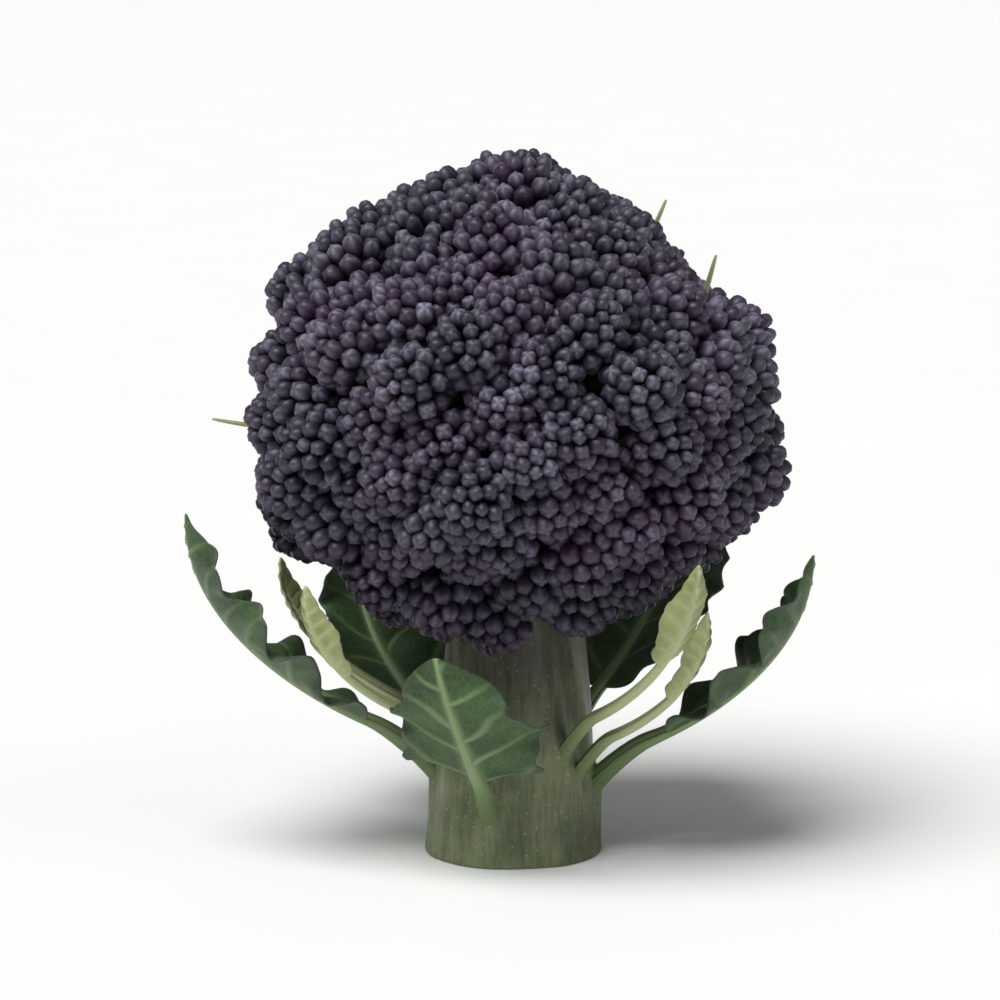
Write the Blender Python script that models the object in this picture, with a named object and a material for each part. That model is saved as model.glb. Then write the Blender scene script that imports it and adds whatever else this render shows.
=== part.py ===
"""A purple broccoli head that stands on its cut stalk.

Metres, +Z up. The origin is the middle of the head's footprint, level with the flat cut face that
it stands on, -Y is the front of the head and +X its right. One stalk carries a spiral of branches.
Each branch, and the stalk's own tip, carries a crown of flower buds, and leaves and small bracts
grow from the bare stalk below. Every piece is its own closed solid, a named clearance away from its
neighbours.
"""

import math
from typing import NamedTuple

import bmesh
import bpy
import numpy as np

MM = 0.001

# The head's overall sizes
HEAD_RADIUS = 47 * MM  # widest radius of the bud surface
HEAD_HEIGHT = 95 * MM  # from the lowest buds up to the top of the head
STUB_HEIGHT = 30 * MM  # bare stalk below the lowest buds
CLEARANCE = 0.3 * MM  # gap between two pieces that meet
GOLDEN_ANGLE = math.pi * (3 - math.sqrt(5))  # from one crown, branch or umbel round to the next

# Shape of the head: a tall dome with sloping shoulders, as shares of HEAD_HEIGHT from its top
WIDEST_SHARE = 0.52
FOOT_SHARE = 1.02
LOWEST_CROWN_SHARE = 0.80
LOWEST_UMBEL_SHARE = 0.91  # the lowest crowns' buds reach further round the underside than their middles
SHOULDER_POWER = 0.75
FOOT_POWER = 1.3
OUTLINE_STEPS = 400

# Stalk
CUT_RADIUS = 15.5 * MM
NECK_RADIUS = 13.5 * MM
TIP_RADIUS = 5.0 * MM
NECK_HEIGHT = 24 * MM
CUT_BEVEL = 1.0 * MM
STALK_SIDES = 20
STALK_ROWS = 4  # levels from the neck to the tip, which keep its facets short where branches meet it

# Crowns of buds
CROWNS = 21
UMBELS = 164  # small domes of buds, shared out among the crowns
UMBEL_RADIUS = 7.6 * MM
CROWN_BULGE = 2.6 * MM  # how far a crown's middle stands proud of its rim
CROWN_BULGE_WIDTH = 17 * MM
CROWN_CORE_DEPTH = 9.5 * MM  # from the bud surface in to the point the crown grows from
CROWN_UNDERSIDE = 6.5 * MM  # from that point down to the crown's flat underside
CROWN_HEART_RADIUS = 9 * MM
CROWN_LIFT = 0.35  # how far a crown's axis turns up from the head's own surface

# Branches
LOW_BRANCH_RADIUS = 3.5 * MM
TOP_BRANCH_RADIUS = 2.5 * MM
BRANCH_WAIST = 0.85  # thickness at WAIST_PLACE along a branch, as a share of its foot's
WAIST_PLACE = 0.6
TOP_BRANCH_DROP = 20 * MM  # from the stalk's tip down to where the highest branch starts
BRANCH_SIDES = 9
BRANCH_RINGS = 6
BRANCH_LEAVE = (0.7, 0.4)  # outward and upward, the direction a branch leaves the stalk in
BRANCH_LEAVE_PULL = 0.4  # how far it keeps to that direction, as a share of its length
BRANCH_ARRIVE_PULL = 0.3  # how far it runs straight in to its crown, as a share of its length
TUBE_SIDE = (0.1, -0.1, 1.0)  # nearly up, and no stem runs quite this way: each tube's rings start from it
STEM_SPACING = 1.5 * MM  # between the balls that stand for a stem where a crown gives way to it

# Leaves and bracts
LEAF_THICKNESS = 1.0 * MM
LEAF_TO_BUDS = 5 * MM  # a leaf's middle line keeps this far outside the bud surface
LEAF_FOOT_WIDTH = 4.5 * MM
LEAF_TIP_WIDTH = 1.6 * MM
LEAF_CUP = 0.16  # how far a blade's edges turn in towards the head, as a share of its width
LEAF_RISE_POWER = 1.35  # above 1, a leaf spreads outwards before it turns up
LEAF_WAIST = 0.6  # width of the leaf stalk where the blade starts, as a share of its foot's
BLADE_FULLNESS = 0.7  # below 1, the blade's oval is fuller than a plain sine wave
BLADE_WIDEST_POWER = 0.8  # below 1, the blade is widest on the stalk's side of its middle
LEAF_ROWS = 11
LEAF_COLUMNS = 5


class Leaf(NamedTuple):
    """Where a leaf grows on the stalk, where its tip ends, and the shape of its blade."""

    name: str
    azimuth: float  # degrees from +X towards +Y
    foot_height: float
    tip_height: float
    flare: float  # how far the tip stands out past the line that follows the buds
    width: float
    blade_start: float  # share of the length that is bare leaf stalk
    material: str


LEAVES = [
    Leaf("leaf_left", 192, 21 * MM, 62 * MM, 8 * MM, 29 * MM, 0.18, "leaf"),
    Leaf("leaf_front", 253, 14 * MM, 41 * MM, 9 * MM, 26 * MM, 0.20, "leaf"),
    Leaf("leaf_right", 350, 18 * MM, 54 * MM, 8 * MM, 27 * MM, 0.22, "leaf"),
    Leaf("leaf_back_right", 52, 21 * MM, 67 * MM, 6 * MM, 31 * MM, 0.18, "leaf"),
    Leaf("leaf_back_left", 124, 16 * MM, 52 * MM, 11 * MM, 24 * MM, 0.24, "leaf"),
    Leaf("bract_front_right", 309, 25 * MM, 57 * MM, 1 * MM, 9 * MM, 0.55, "bract"),
    Leaf("bract_right", 323, 21 * MM, 47 * MM, 4 * MM, 8 * MM, 0.50, "bract"),
    Leaf("bract_front_left", 218, 25 * MM, 52 * MM, 2 * MM, 9 * MM, 0.50, "bract"),
    Leaf("bract_back", 88, 26 * MM, 56 * MM, 3 * MM, 9 * MM, 0.50, "bract"),
    Leaf("bract_left", 159, 24 * MM, 50 * MM, 4 * MM, 8 * MM, 0.50, "bract"),
]


def clear_scene():
    """Removes every object that is in the scene already."""
    for item in list(bpy.data.objects):
        bpy.data.objects.remove(item)


def make_material(name, colour, roughness):
    """A plain material of one colour, as linear red, green and blue."""
    material = bpy.data.materials.new(name)
    material.use_nodes = True
    shader = material.node_tree.nodes["Principled BSDF"]
    shader.inputs["Base Color"].default_value = (*colour, 1.0)
    shader.inputs["Roughness"].default_value = roughness
    shader.inputs["Metallic"].default_value = 0.0
    return material


def make_object(name, points, faces, material):
    """Puts points and faces into a new smooth-shaded object at the origin."""
    mesh = bpy.data.meshes.new(name)
    mesh.from_pydata([tuple(p) for p in points], [], faces)
    mesh.materials.append(material)
    mesh.shade_smooth()
    made = bpy.data.objects.new(name, mesh)
    bpy.context.scene.collection.objects.link(made)
    return made


def face_outwards(mesh):
    """Turns every face of a closed mesh outwards."""
    shape = bmesh.new()
    shape.from_mesh(mesh)
    bmesh.ops.recalc_face_normals(shape, faces=shape.faces)
    shape.to_mesh(mesh)
    shape.free()


def unit(vectors):
    """The same directions, one long."""
    return vectors / np.linalg.norm(vectors, axis=-1, keepdims=True)


# ---- the head's outline --------------------------------------------------------------------------


def head_outline(share):
    """Radius and height of the bud surface at a share of the head's height, from its top.

    Above the widest ring the radius follows a quarter sine wave of a slowed share, which gives
    sloping shoulders. Below it the radius follows a quarter cosine wave down to the foot.
    """
    upper = np.clip(share / WIDEST_SHARE, 0, 1) ** SHOULDER_POWER
    lower = np.clip((share - WIDEST_SHARE) / (FOOT_SHARE - WIDEST_SHARE), 0, 1) ** FOOT_POWER
    radius = HEAD_RADIUS * np.sin(math.pi / 2 * upper) * np.cos(math.pi / 2 * lower)
    height = STUB_HEIGHT + HEAD_HEIGHT * (1 - share)
    return radius, height


def bud_surface_radius(height):
    """Radius of the bud surface at a height, and nothing below its foot."""
    share = 1 - (height - STUB_HEIGHT) / HEAD_HEIGHT
    return np.where(share < FOOT_SHARE, head_outline(np.clip(share, 0, FOOT_SHARE))[0], 0.0)


def spiral_on_head(count, lowest_share, starts_at_top):
    """Places and outward directions of count points, spread evenly over the bud surface.

    Each point takes an equal share of the surface's area down to the lowest share of the head's
    height, one golden angle round from the last.
    """
    shares = np.linspace(0, lowest_share, OUTLINE_STEPS)
    radius, height = head_outline(shares)
    run, drop = np.diff(radius), np.diff(height)
    band_area = (radius[1:] + radius[:-1]) * np.hypot(run, drop)
    area = np.concatenate([[0], np.cumsum(band_area)])
    order = np.arange(count) + 0.5
    if starts_at_top:
        order[0] = 0
    share = np.interp(order / count * area[-1], area, shares)
    angle = np.arange(count) * GOLDEN_ANGLE
    ring, level = head_outline(share)
    slope_run, slope_drop = head_outline(share + 1 / OUTLINE_STEPS)
    # The outline's own direction, turned a quarter, points outwards
    out = unit(np.stack([level - slope_drop, slope_run - ring], axis=1))
    places = np.stack([ring * np.cos(angle), ring * np.sin(angle), level], axis=1)
    normals = np.stack([out[:, 0] * np.cos(angle), out[:, 0] * np.sin(angle), out[:, 1]], axis=1)
    if starts_at_top:
        normals[0] = (0, 0, 1)
    return places, normals


# ---- crowns --------------------------------------------------------------------------------------


def plan_crowns():
    """The point each crown grows from, and the direction it faces."""
    places, normals = spiral_on_head(CROWNS, LOWEST_CROWN_SHARE, starts_at_top=True)
    axes = unit(normals + np.array([0, 0, CROWN_LIFT]))
    return places - axes * CROWN_CORE_DEPTH, axes


def plan_umbels(cores, axes):
    """Centre of each small dome of buds, which stands proud near the middle of a crown."""
    places, normals = spiral_on_head(UMBELS, LOWEST_UMBEL_SHARE, starts_at_top=False)
    crown_tops = cores + axes * CROWN_CORE_DEPTH
    distance = np.linalg.norm(places[:, None] - crown_tops[None], axis=2)
    off_middle = distance.min(axis=1) / CROWN_BULGE_WIDTH
    proud = CROWN_BULGE * (1 - np.minimum(off_middle, 1) ** 2)
    return places + normals * (proud - UMBEL_RADIUS - CROWN_BULGE / 2)[:, None]


def crown_reach(directions, core, axis, umbels, other_cores, stems):
    """How far a crown reaches from its core in each direction.

    It reaches out to the far side of the furthest umbel along that direction, whichever crown owns
    it, but stops at its flat underside and half the clearance short of the plane midway to each
    other crown's core. So neighbouring crowns meet in a narrow seam, and the head has no holes. It
    also gives way to the stems that pass it, each of which is a row of balls.
    """
    offset = umbels - core
    along = directions @ offset.T
    inside = along**2 - (offset**2).sum(axis=1) + UMBEL_RADIUS**2
    exits = np.where(inside > 0, along + np.sqrt(np.maximum(inside, 0)), 0)
    reach = np.maximum(exits.max(axis=1), CROWN_HEART_RADIUS)

    span = other_cores - core
    distance = np.linalg.norm(span, axis=1)
    towards = np.maximum(directions @ (span / distance[:, None]).T, 1e-6)
    cell_wall = ((distance - CLEARANCE) / 2 / towards).min(axis=1)
    underside = CROWN_UNDERSIDE / np.maximum(-directions @ axis, 1e-6)

    offset = stems[:, :3] - core
    along = directions @ offset.T
    inside = along**2 - (offset**2).sum(axis=1) + (stems[:, 3] + 2 * CLEARANCE) ** 2
    entries = np.where((inside > 0) & (along > 0), along - np.sqrt(np.maximum(inside, 0)), np.inf)
    return np.minimum(np.minimum(reach, entries.min(axis=1)), np.minimum(cell_wall, underside))


def make_crown(name, core, axis, umbels, other_cores, stems, material):
    """A crown of buds: a ball whose every corner is moved out to the crown's own reach."""
    shape = bmesh.new()
    bmesh.ops.create_icosphere(shape, subdivisions=3, radius=1)
    directions = unit(np.array([corner.co for corner in shape.verts]))
    faces = [[corner.index for corner in face.verts] for face in shape.faces]
    shape.free()
    reach = crown_reach(directions, core, axis, umbels, other_cores, stems)
    return make_object(name, core + directions * reach[:, None], faces, material)


# ---- stalk and branches --------------------------------------------------------------------------


TIP_HEIGHT = STUB_HEIGHT + HEAD_HEIGHT - CROWN_CORE_DEPTH - CROWN_UNDERSIDE - CLEARANCE


def stalk_radius(height):
    """Radius of the stalk: it narrows from the cut to the neck, then evenly up to its tip."""
    return np.interp(height, [0, NECK_HEIGHT, TIP_HEIGHT], [CUT_RADIUS, NECK_RADIUS, TIP_RADIUS])


def tube(name, path, ahead, radii, sides, material):
    """A closed tube along a path, whose rings and flat caps are square to the directions ahead."""
    side = unit(np.cross(ahead, TUBE_SIDE))
    other_side = np.cross(ahead, side)
    turn = np.arange(sides) * 2 * math.pi / sides
    ring = np.cos(turn)[None, :, None] * side[:, None] + np.sin(turn)[None, :, None] * other_side[:, None]
    points = (path[:, None] + ring * np.asarray(radii)[:, None, None]).reshape(-1, 3)
    faces = [list(range(sides)), list(range(len(points) - sides, len(points)))]
    for level in range(len(path) - 1):
        for k in range(sides):
            low, low_next = level * sides + k, level * sides + (k + 1) % sides
            faces.append([low, low_next, low_next + sides, low + sides])
    made = make_object(name, points, faces, material)
    face_outwards(made.data)
    return made


def make_stalk(name, margin, material):
    """The stalk from the cut face up to its tip, grown by a margin when it is used as a cutter."""
    levels = np.concatenate([[0, CUT_BEVEL], np.linspace(NECK_HEIGHT, TIP_HEIGHT, STALK_ROWS)])
    radii = stalk_radius(levels) + margin
    radii[0] -= CUT_BEVEL
    path = np.stack([np.zeros_like(levels), np.zeros_like(levels), levels], axis=1)
    ahead = np.tile([0.0, 0.0, 1.0], (len(levels), 1))
    return tube(name, path, ahead, radii, STALK_SIDES, material)


def branch_path(start_height, core, axis):
    """Points and directions of a cubic curve from the stalk's middle, out and up, which meets the
    crown's underside square on."""
    end = core - axis * (CROWN_UNDERSIDE + CLEARANCE)
    start = np.array([0, 0, start_height])
    length = np.linalg.norm(end - start)
    outward = np.array([end[0], end[1], 0]) / math.hypot(end[0], end[1])
    direction = outward * BRANCH_LEAVE[0] + np.array([0, 0, BRANCH_LEAVE[1]])
    leave = start + direction * length * BRANCH_LEAVE_PULL
    arrive = end - axis * length * BRANCH_ARRIVE_PULL
    t = np.linspace(0, 1, BRANCH_RINGS)[:, None]
    path = (1 - t) ** 3 * start + 3 * (1 - t) ** 2 * t * leave + 3 * (1 - t) * t**2 * arrive + t**3 * end
    speed = (1 - t) ** 2 * (leave - start) + 2 * (1 - t) * t * (arrive - leave) + t**2 * (end - arrive)
    return path, unit(speed)


def plan_branches(cores, axes):
    """Points, directions and radii of the branch under each crown but the top one.

    The branches start evenly spaced from the highest to the lowest, and each narrows to a waist,
    then widens again under its crown.
    """
    shape = np.interp(np.linspace(0, 1, BRANCH_RINGS), [0, WAIST_PLACE, 1], [1, BRANCH_WAIST, 1])
    starts = np.linspace(TIP_HEIGHT - TOP_BRANCH_DROP, STUB_HEIGHT + LOW_BRANCH_RADIUS, CROWNS - 1)
    thickness = np.linspace(TOP_BRANCH_RADIUS, LOW_BRANCH_RADIUS, CROWNS - 1)
    plans = []
    for start, radius, core, axis in zip(starts, thickness, cores[1:], axes[1:]):
        path, ahead = branch_path(start, core, axis)
        plans.append((path, ahead, radius * shape))
    return plans


def balls_along(path, radii):
    """A row of balls, as centres and radii, that fills a tube closely enough to stand for it."""
    run = np.concatenate([[0], np.cumsum(np.linalg.norm(np.diff(path, axis=0), axis=1))])
    places = np.arange(0, run[-1] + STEM_SPACING, STEM_SPACING)
    return np.stack([np.interp(places, run, column) for column in (*path.T, radii)], axis=1)


def make_branch(name, path, ahead, radii, cutter, material):
    """A branch from the stalk to one crown, which a Boolean cuts back from the stalk."""
    made = tube(name, path, ahead, radii, BRANCH_SIDES, material)
    cut = made.modifiers.new("clear_of_stalk", "BOOLEAN")
    cut.operation = "DIFFERENCE"
    cut.object = cutter
    return made


# ---- leaves --------------------------------------------------------------------------------------


def leaf_line(leaf):
    """Radius and height of a leaf's middle line, from its foot on the stalk to its tip.

    It rises evenly, swings out from the stalk towards its tip, and never comes closer to the bud
    surface than LEAF_TO_BUDS.
    """
    s = np.linspace(0, 1, LEAF_ROWS)
    height = leaf.foot_height + (leaf.tip_height - leaf.foot_height) * s**LEAF_RISE_POWER
    foot = stalk_radius(leaf.foot_height) + CLEARANCE + LEAF_THICKNESS
    tip = bud_surface_radius(leaf.tip_height) + LEAF_TO_BUDS + leaf.flare
    swing = foot + (tip - foot) * np.sin(math.pi / 2 * s)
    kept_out = bud_surface_radius(height) + LEAF_TO_BUDS + leaf.flare * s
    return np.maximum(swing, np.where(height > STUB_HEIGHT, kept_out, 0)), height


def leaf_half_width(leaf):
    """Half the leaf's width along its length: a narrow leaf stalk, then an oval blade."""
    s = np.linspace(0, 1, LEAF_ROWS)
    blade = np.clip((s - leaf.blade_start) / (1 - leaf.blade_start), 0, 1)
    oval = np.sin(math.pi * blade**BLADE_WIDEST_POWER) ** BLADE_FULLNESS
    stalk_widths = [LEAF_FOOT_WIDTH, LEAF_FOOT_WIDTH * LEAF_WAIST, LEAF_TIP_WIDTH]
    narrowest = np.interp(s, [0, leaf.blade_start, 1], stalk_widths)
    return np.maximum(leaf.width * oval, narrowest) / 2


def make_leaf(leaf, material):
    """A leaf as a cupped sheet that follows its middle line, thickened by a Solidify modifier."""
    radius, height = leaf_line(leaf)
    half = leaf_half_width(leaf)
    across = np.linspace(-1, 1, LEAF_COLUMNS)
    azimuth = math.radians(leaf.azimuth)
    outward = np.array([math.cos(azimuth), math.sin(azimuth), 0])
    sideways = np.array([-math.sin(azimuth), math.cos(azimuth), 0])
    middle = radius[:, None] * outward + height[:, None] * np.array([0, 0, 1])
    spread = half[:, None, None] * across[None, :, None] * sideways
    cup = (2 * half * LEAF_CUP)[:, None, None] * (across**2)[None, :, None] * outward
    points = (middle[:, None] + spread - cup).reshape(-1, 3)
    faces = []
    for row in range(LEAF_ROWS - 1):
        for column in range(LEAF_COLUMNS - 1):
            corner = row * LEAF_COLUMNS + column
            faces.append([corner, corner + 1, corner + LEAF_COLUMNS + 1, corner + LEAF_COLUMNS])
    made = make_object(leaf.name, points, faces, material)
    wall = made.modifiers.new("blade", "SOLIDIFY")
    wall.thickness = LEAF_THICKNESS
    wall.offset = 0
    return made


# ---- the whole head ------------------------------------------------------------------------------


def centre_on_origin():
    """Moves every piece sideways, so that the origin is the middle of the head's footprint."""
    graph = bpy.context.evaluated_depsgraph_get()
    pieces = [item.evaluated_get(graph) for item in bpy.data.objects if not item.hide_render]
    corners = np.array([corner for piece in pieces for corner in piece.bound_box])
    middle = (corners.min(axis=0) + corners.max(axis=0)) / 2
    for item in bpy.data.objects:
        item.location = (-middle[0], -middle[1], 0)


def main():
    clear_scene()
    materials = {
        "stalk": make_material("stalk_skin", (0.30, 0.40, 0.16), 0.45),
        "branch": make_material("branch_skin", (0.26, 0.33, 0.17), 0.5),
        "buds": make_material("bud_bloom", (0.035, 0.028, 0.055), 0.5),
        "leaf": make_material("leaf_blade", (0.03, 0.09, 0.025), 0.5),
        "bract": make_material("bract_blade", (0.33, 0.42, 0.14), 0.5),
    }
    cores, axes = plan_crowns()
    umbels = plan_umbels(cores, axes)

    make_stalk("stalk", 0, materials["stalk"])
    cutter = make_stalk("stalk_cutter", CLEARANCE, materials["stalk"])
    cutter.hide_render = True
    cutter.display_type = "WIRE"

    branches = plan_branches(cores, axes)
    for i, (path, ahead, radii) in enumerate(branches, start=1):
        make_branch(f"branch_{i:02d}", path, ahead, radii, cutter, materials["branch"])

    middle = np.array([[0, 0, 0], [0, 0, NECK_HEIGHT], [0, 0, TIP_HEIGHT]])
    stems = [balls_along(middle, [CUT_RADIUS, NECK_RADIUS, TIP_RADIUS])]
    stems += [balls_along(path, radii) for path, ahead, radii in branches]
    for i, (core, axis) in enumerate(zip(cores, axes)):
        others = np.delete(cores, i, axis=0)
        passing = np.concatenate(stems[:i] + stems[i + 1 :])
        make_crown(f"crown_{i:02d}", core, axis, umbels, others, passing, materials["buds"])
    for leaf in LEAVES:
        make_leaf(leaf, materials[leaf.material])
    centre_on_origin()


main()
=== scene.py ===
"""The looks of a purple broccoli head that stands on its cut stalk.

Metres, +Z up, in the CAD model's own frame: -Y is the front. The plan of the head repeats the CAD
model's formulas, so every umbel of buds, branch and leaf grows where its solid is. On that plan the
script grows the single buds, their stems, the ribbed stalk, and leaves with veins and toothed edges.
"""

import logging
import math
from dataclasses import dataclass, field
from enum import Enum

import bpy
import numpy as np
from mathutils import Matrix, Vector


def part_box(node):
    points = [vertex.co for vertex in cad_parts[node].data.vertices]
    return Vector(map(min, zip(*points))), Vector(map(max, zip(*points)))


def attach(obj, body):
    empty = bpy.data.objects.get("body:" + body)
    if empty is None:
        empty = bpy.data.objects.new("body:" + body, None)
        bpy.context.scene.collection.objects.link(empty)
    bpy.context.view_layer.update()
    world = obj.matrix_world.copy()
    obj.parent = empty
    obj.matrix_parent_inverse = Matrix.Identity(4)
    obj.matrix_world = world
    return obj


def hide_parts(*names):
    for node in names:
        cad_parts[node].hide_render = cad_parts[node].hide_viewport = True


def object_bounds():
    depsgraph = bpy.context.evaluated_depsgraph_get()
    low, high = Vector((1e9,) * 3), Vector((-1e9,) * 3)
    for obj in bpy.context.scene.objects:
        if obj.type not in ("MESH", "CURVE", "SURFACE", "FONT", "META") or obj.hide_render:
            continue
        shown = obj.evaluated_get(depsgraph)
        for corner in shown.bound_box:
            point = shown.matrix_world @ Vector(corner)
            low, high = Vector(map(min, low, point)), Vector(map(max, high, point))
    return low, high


LOG = logging.getLogger("broccoli_head")
MM = 0.001
GOLDEN_ANGLE = math.pi * (3 - math.sqrt(5))
UP = np.array([0.0, 0.0, 1.0])
WAX_IOR = 1.45  # of the wax that coats every part but the cut

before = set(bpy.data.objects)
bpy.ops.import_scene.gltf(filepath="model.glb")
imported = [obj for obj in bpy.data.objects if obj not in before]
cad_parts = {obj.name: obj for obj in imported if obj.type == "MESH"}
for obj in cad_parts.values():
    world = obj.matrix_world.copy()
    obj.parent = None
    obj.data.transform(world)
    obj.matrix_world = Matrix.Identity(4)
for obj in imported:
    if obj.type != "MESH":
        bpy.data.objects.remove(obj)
CAD_LOW, CAD_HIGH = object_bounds()


class Slot(Enum):
    """The material slots, by name."""

    STALK = "stalk"
    BRANCH = "branch"
    BUDS = "buds"
    LEAF = "leaf"
    BRACT = "bract"


# ---- small tools for arrays and shapes -----------------------------------------------------------


def unit(vectors: np.ndarray) -> np.ndarray:
    """The same directions, one long."""
    return vectors / np.linalg.norm(vectors, axis=-1, keepdims=True)


def smooth_step(low: float, high: float, values: np.ndarray) -> np.ndarray:
    """Rises from 0 at low to 1 at high along 3t squared - 2t cubed, level at both ends.

    Args:
        low: Value where the rise starts.
        high: Value where it ends.
        values: What to measure.

    Returns:
        The height of the step at every value.
    """
    t = np.clip((values - low) / (high - low), 0, 1)
    return t * t * (3 - 2 * t)


def soften(row: np.ndarray, reach: int) -> np.ndarray:
    """Rounds the kinks of a row of numbers with a moving mean, its ends held.

    Args:
        row: The numbers.
        reach: How many neighbours on each side share in a mean.

    Returns:
        The softened row, as long as before.
    """
    held = np.concatenate([np.full(reach, row[0]), row, np.full(reach, row[-1])])
    return np.convolve(held, np.full(2 * reach + 1, 1 / (2 * reach + 1)), mode="valid")


@dataclass
class Surface:
    """Points and faces, with the value of each named attribute at every point."""

    points: np.ndarray
    quads: np.ndarray
    triangles: np.ndarray
    values: dict[str, np.ndarray] = field(default_factory=dict)


def joined(surfaces: list[Surface]) -> Surface:
    """Puts several surfaces that have the same attributes into one.

    Args:
        surfaces: At least one surface.

    Returns:
        One surface with all their points and faces.
    """
    starts = np.cumsum([0] + [len(part.points) for part in surfaces])
    return Surface(
        np.concatenate([part.points for part in surfaces]),
        np.concatenate([part.quads + start for part, start in zip(surfaces, starts)]),
        np.concatenate([part.triangles + start for part, start in zip(surfaces, starts)]),
        {name: np.concatenate([part.values[name] for part in surfaces]) for name in surfaces[0].values},
    )


def ring_faces(levels: int, sides: int) -> tuple[np.ndarray, np.ndarray]:
    """Faces of one closed tube, whose points run ring by ring and then end with its two poles.

    Args:
        levels: How many rings it has.
        sides: How many points a ring has.

    Returns:
        Its four-sided faces, and the fans of triangles on its two caps.
    """
    level, side = np.meshgrid(np.arange(levels - 1), np.arange(sides), indexing="ij")
    low, low_next = level * sides + side, level * sides + (side + 1) % sides
    quads = np.stack([low, low_next, low_next + sides, low + sides], axis=-1).reshape(-1, 4)
    k, k_next = np.arange(sides), (np.arange(sides) + 1) % sides
    top, pole = (levels - 1) * sides, levels * sides
    bottom_fan = np.stack([np.full(sides, pole), k_next, k], axis=-1)
    top_fan = np.stack([np.full(sides, pole + 1), top + k, top + k_next], axis=-1)
    return quads, np.concatenate([bottom_fan, top_fan])


def compass(azimuth: float) -> tuple[np.ndarray, np.ndarray]:
    """Level directions at degrees from +X towards +Y: outwards, and square to that on its left."""
    turn = math.radians(azimuth)
    return np.array([math.cos(turn), math.sin(turn), 0]), np.array([-math.sin(turn), math.cos(turn), 0])


def copies_of(faces: np.ndarray, count: int, points_each: int) -> np.ndarray:
    """The faces of one shape, repeated for count copies whose points follow each other."""
    return (faces[None] + (np.arange(count) * points_each)[:, None, None]).reshape(-1, faces.shape[1])


def tubes(paths: np.ndarray, ahead: np.ndarray, radii: np.ndarray, sides: int) -> Surface:
    """Closed round tubes along many paths at once.

    A ring is cosine times one direction square to the path plus sine times the other. The first
    direction comes from the axis that the path runs along least, so that no tube twists. The start
    cap is flat and the end cap is a low cone.

    Args:
        paths: Middle lines, as (tubes, rings, 3).
        ahead: Their directions, of the same shape.
        radii: Their radii, as (tubes, rings).
        sides: Points round each ring.

    Returns:
        One surface, with an "along" value from 0 at each tube's start to 1 at its end.
    """
    count, levels = radii.shape
    chord = np.abs(paths[:, -1] - paths[:, 0])
    least = np.eye(3)[np.argmin(chord, axis=1)][:, None]
    side = unit(np.cross(ahead, least))
    other = np.cross(ahead, side)
    turn = np.arange(sides) * 2 * math.pi / sides
    ring = side[:, :, None] * np.cos(turn)[:, None] + other[:, :, None] * np.sin(turn)[:, None]
    walls = (paths[:, :, None] + ring * radii[:, :, None, None]).reshape(count, -1, 3)
    tip = paths[:, -1] + ahead[:, -1] * radii[:, -1:] * 0.5
    points = np.concatenate([walls, paths[:, :1], tip[:, None]], axis=1)
    along = np.concatenate([np.repeat(np.linspace(0, 1, levels), sides), [0, 1]])
    quads, fans = ring_faces(levels, sides)
    each = levels * sides + 2
    return Surface(
        points.reshape(-1, 3),
        copies_of(quads, count, each),
        copies_of(fans, count, each),
        {"along": np.tile(along, count)},
    )


def curves(start: np.ndarray, leave: np.ndarray, arrive: np.ndarray, end: np.ndarray,
           rings: int) -> tuple[np.ndarray, np.ndarray]:
    """Points and directions of cubic Bezier curves, many at once.

    Args:
        start: Where each curve starts, as (curves, 3).
        leave: The control point that it starts towards.
        arrive: The control point that it ends from.
        end: Where it ends.
        rings: Points along each.

    Returns:
        Its points and its unit directions, both as (curves, rings, 3).
    """
    t = np.linspace(0, 1, rings)[None, :, None]
    a, b, c, d = (place[:, None] for place in (start, leave, arrive, end))
    path = (1 - t) ** 3 * a + 3 * (1 - t) ** 2 * t * b + 3 * (1 - t) * t**2 * c + t**3 * d
    speed = (1 - t) ** 2 * (b - a) + 2 * (1 - t) * t * (c - b) + t**2 * (d - c)
    return path, unit(speed)


def slab(middle: np.ndarray, half_thickness: np.ndarray, values: dict[str, np.ndarray]) -> Surface:
    """A closed sheet: a grid of points moved out and in by half its thickness along its own normal.

    Args:
        middle: The sheet's middle, as (rows, columns, 3). Rows run up it and columns across it.
        half_thickness: Half its thickness at each grid point.
        values: Attribute values at each grid point.

    Returns:
        The two faces of the sheet, stitched together round the edge.
    """
    rows, columns = half_thickness.shape
    normal = unit(np.cross(np.gradient(middle, axis=1), np.gradient(middle, axis=0)))
    step = normal * half_thickness[..., None]
    points = np.concatenate([(middle + step).reshape(-1, 3), (middle - step).reshape(-1, 3)])
    outer = np.arange(rows * columns).reshape(rows, columns)
    inner = outer + rows * columns

    def strip(a: np.ndarray, b: np.ndarray, c: np.ndarray, d: np.ndarray) -> np.ndarray:
        """Four-sided faces from four equal blocks of corners."""
        return np.stack([a, b, c, d], axis=-1).reshape(-1, 4)

    quads = np.concatenate([
        strip(outer[:-1, :-1], outer[:-1, 1:], outer[1:, 1:], outer[1:, :-1]),
        strip(inner[1:, :-1], inner[1:, 1:], inner[:-1, 1:], inner[:-1, :-1]),
        strip(inner[0, :-1], inner[0, 1:], outer[0, 1:], outer[0, :-1]),
        strip(inner[-1, 1:], inner[-1, :-1], outer[-1, :-1], outer[-1, 1:]),
        strip(inner[1:, 0], inner[:-1, 0], outer[:-1, 0], outer[1:, 0]),
        strip(inner[:-1, -1], inner[1:, -1], outer[1:, -1], outer[:-1, -1]),
    ])
    doubled = {name: np.tile(value.ravel(), 2) for name, value in values.items()}
    return Surface(points, quads, np.zeros((0, 3), int), doubled)


# ---- finishes ------------------------------------------------------------------------------------


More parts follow.
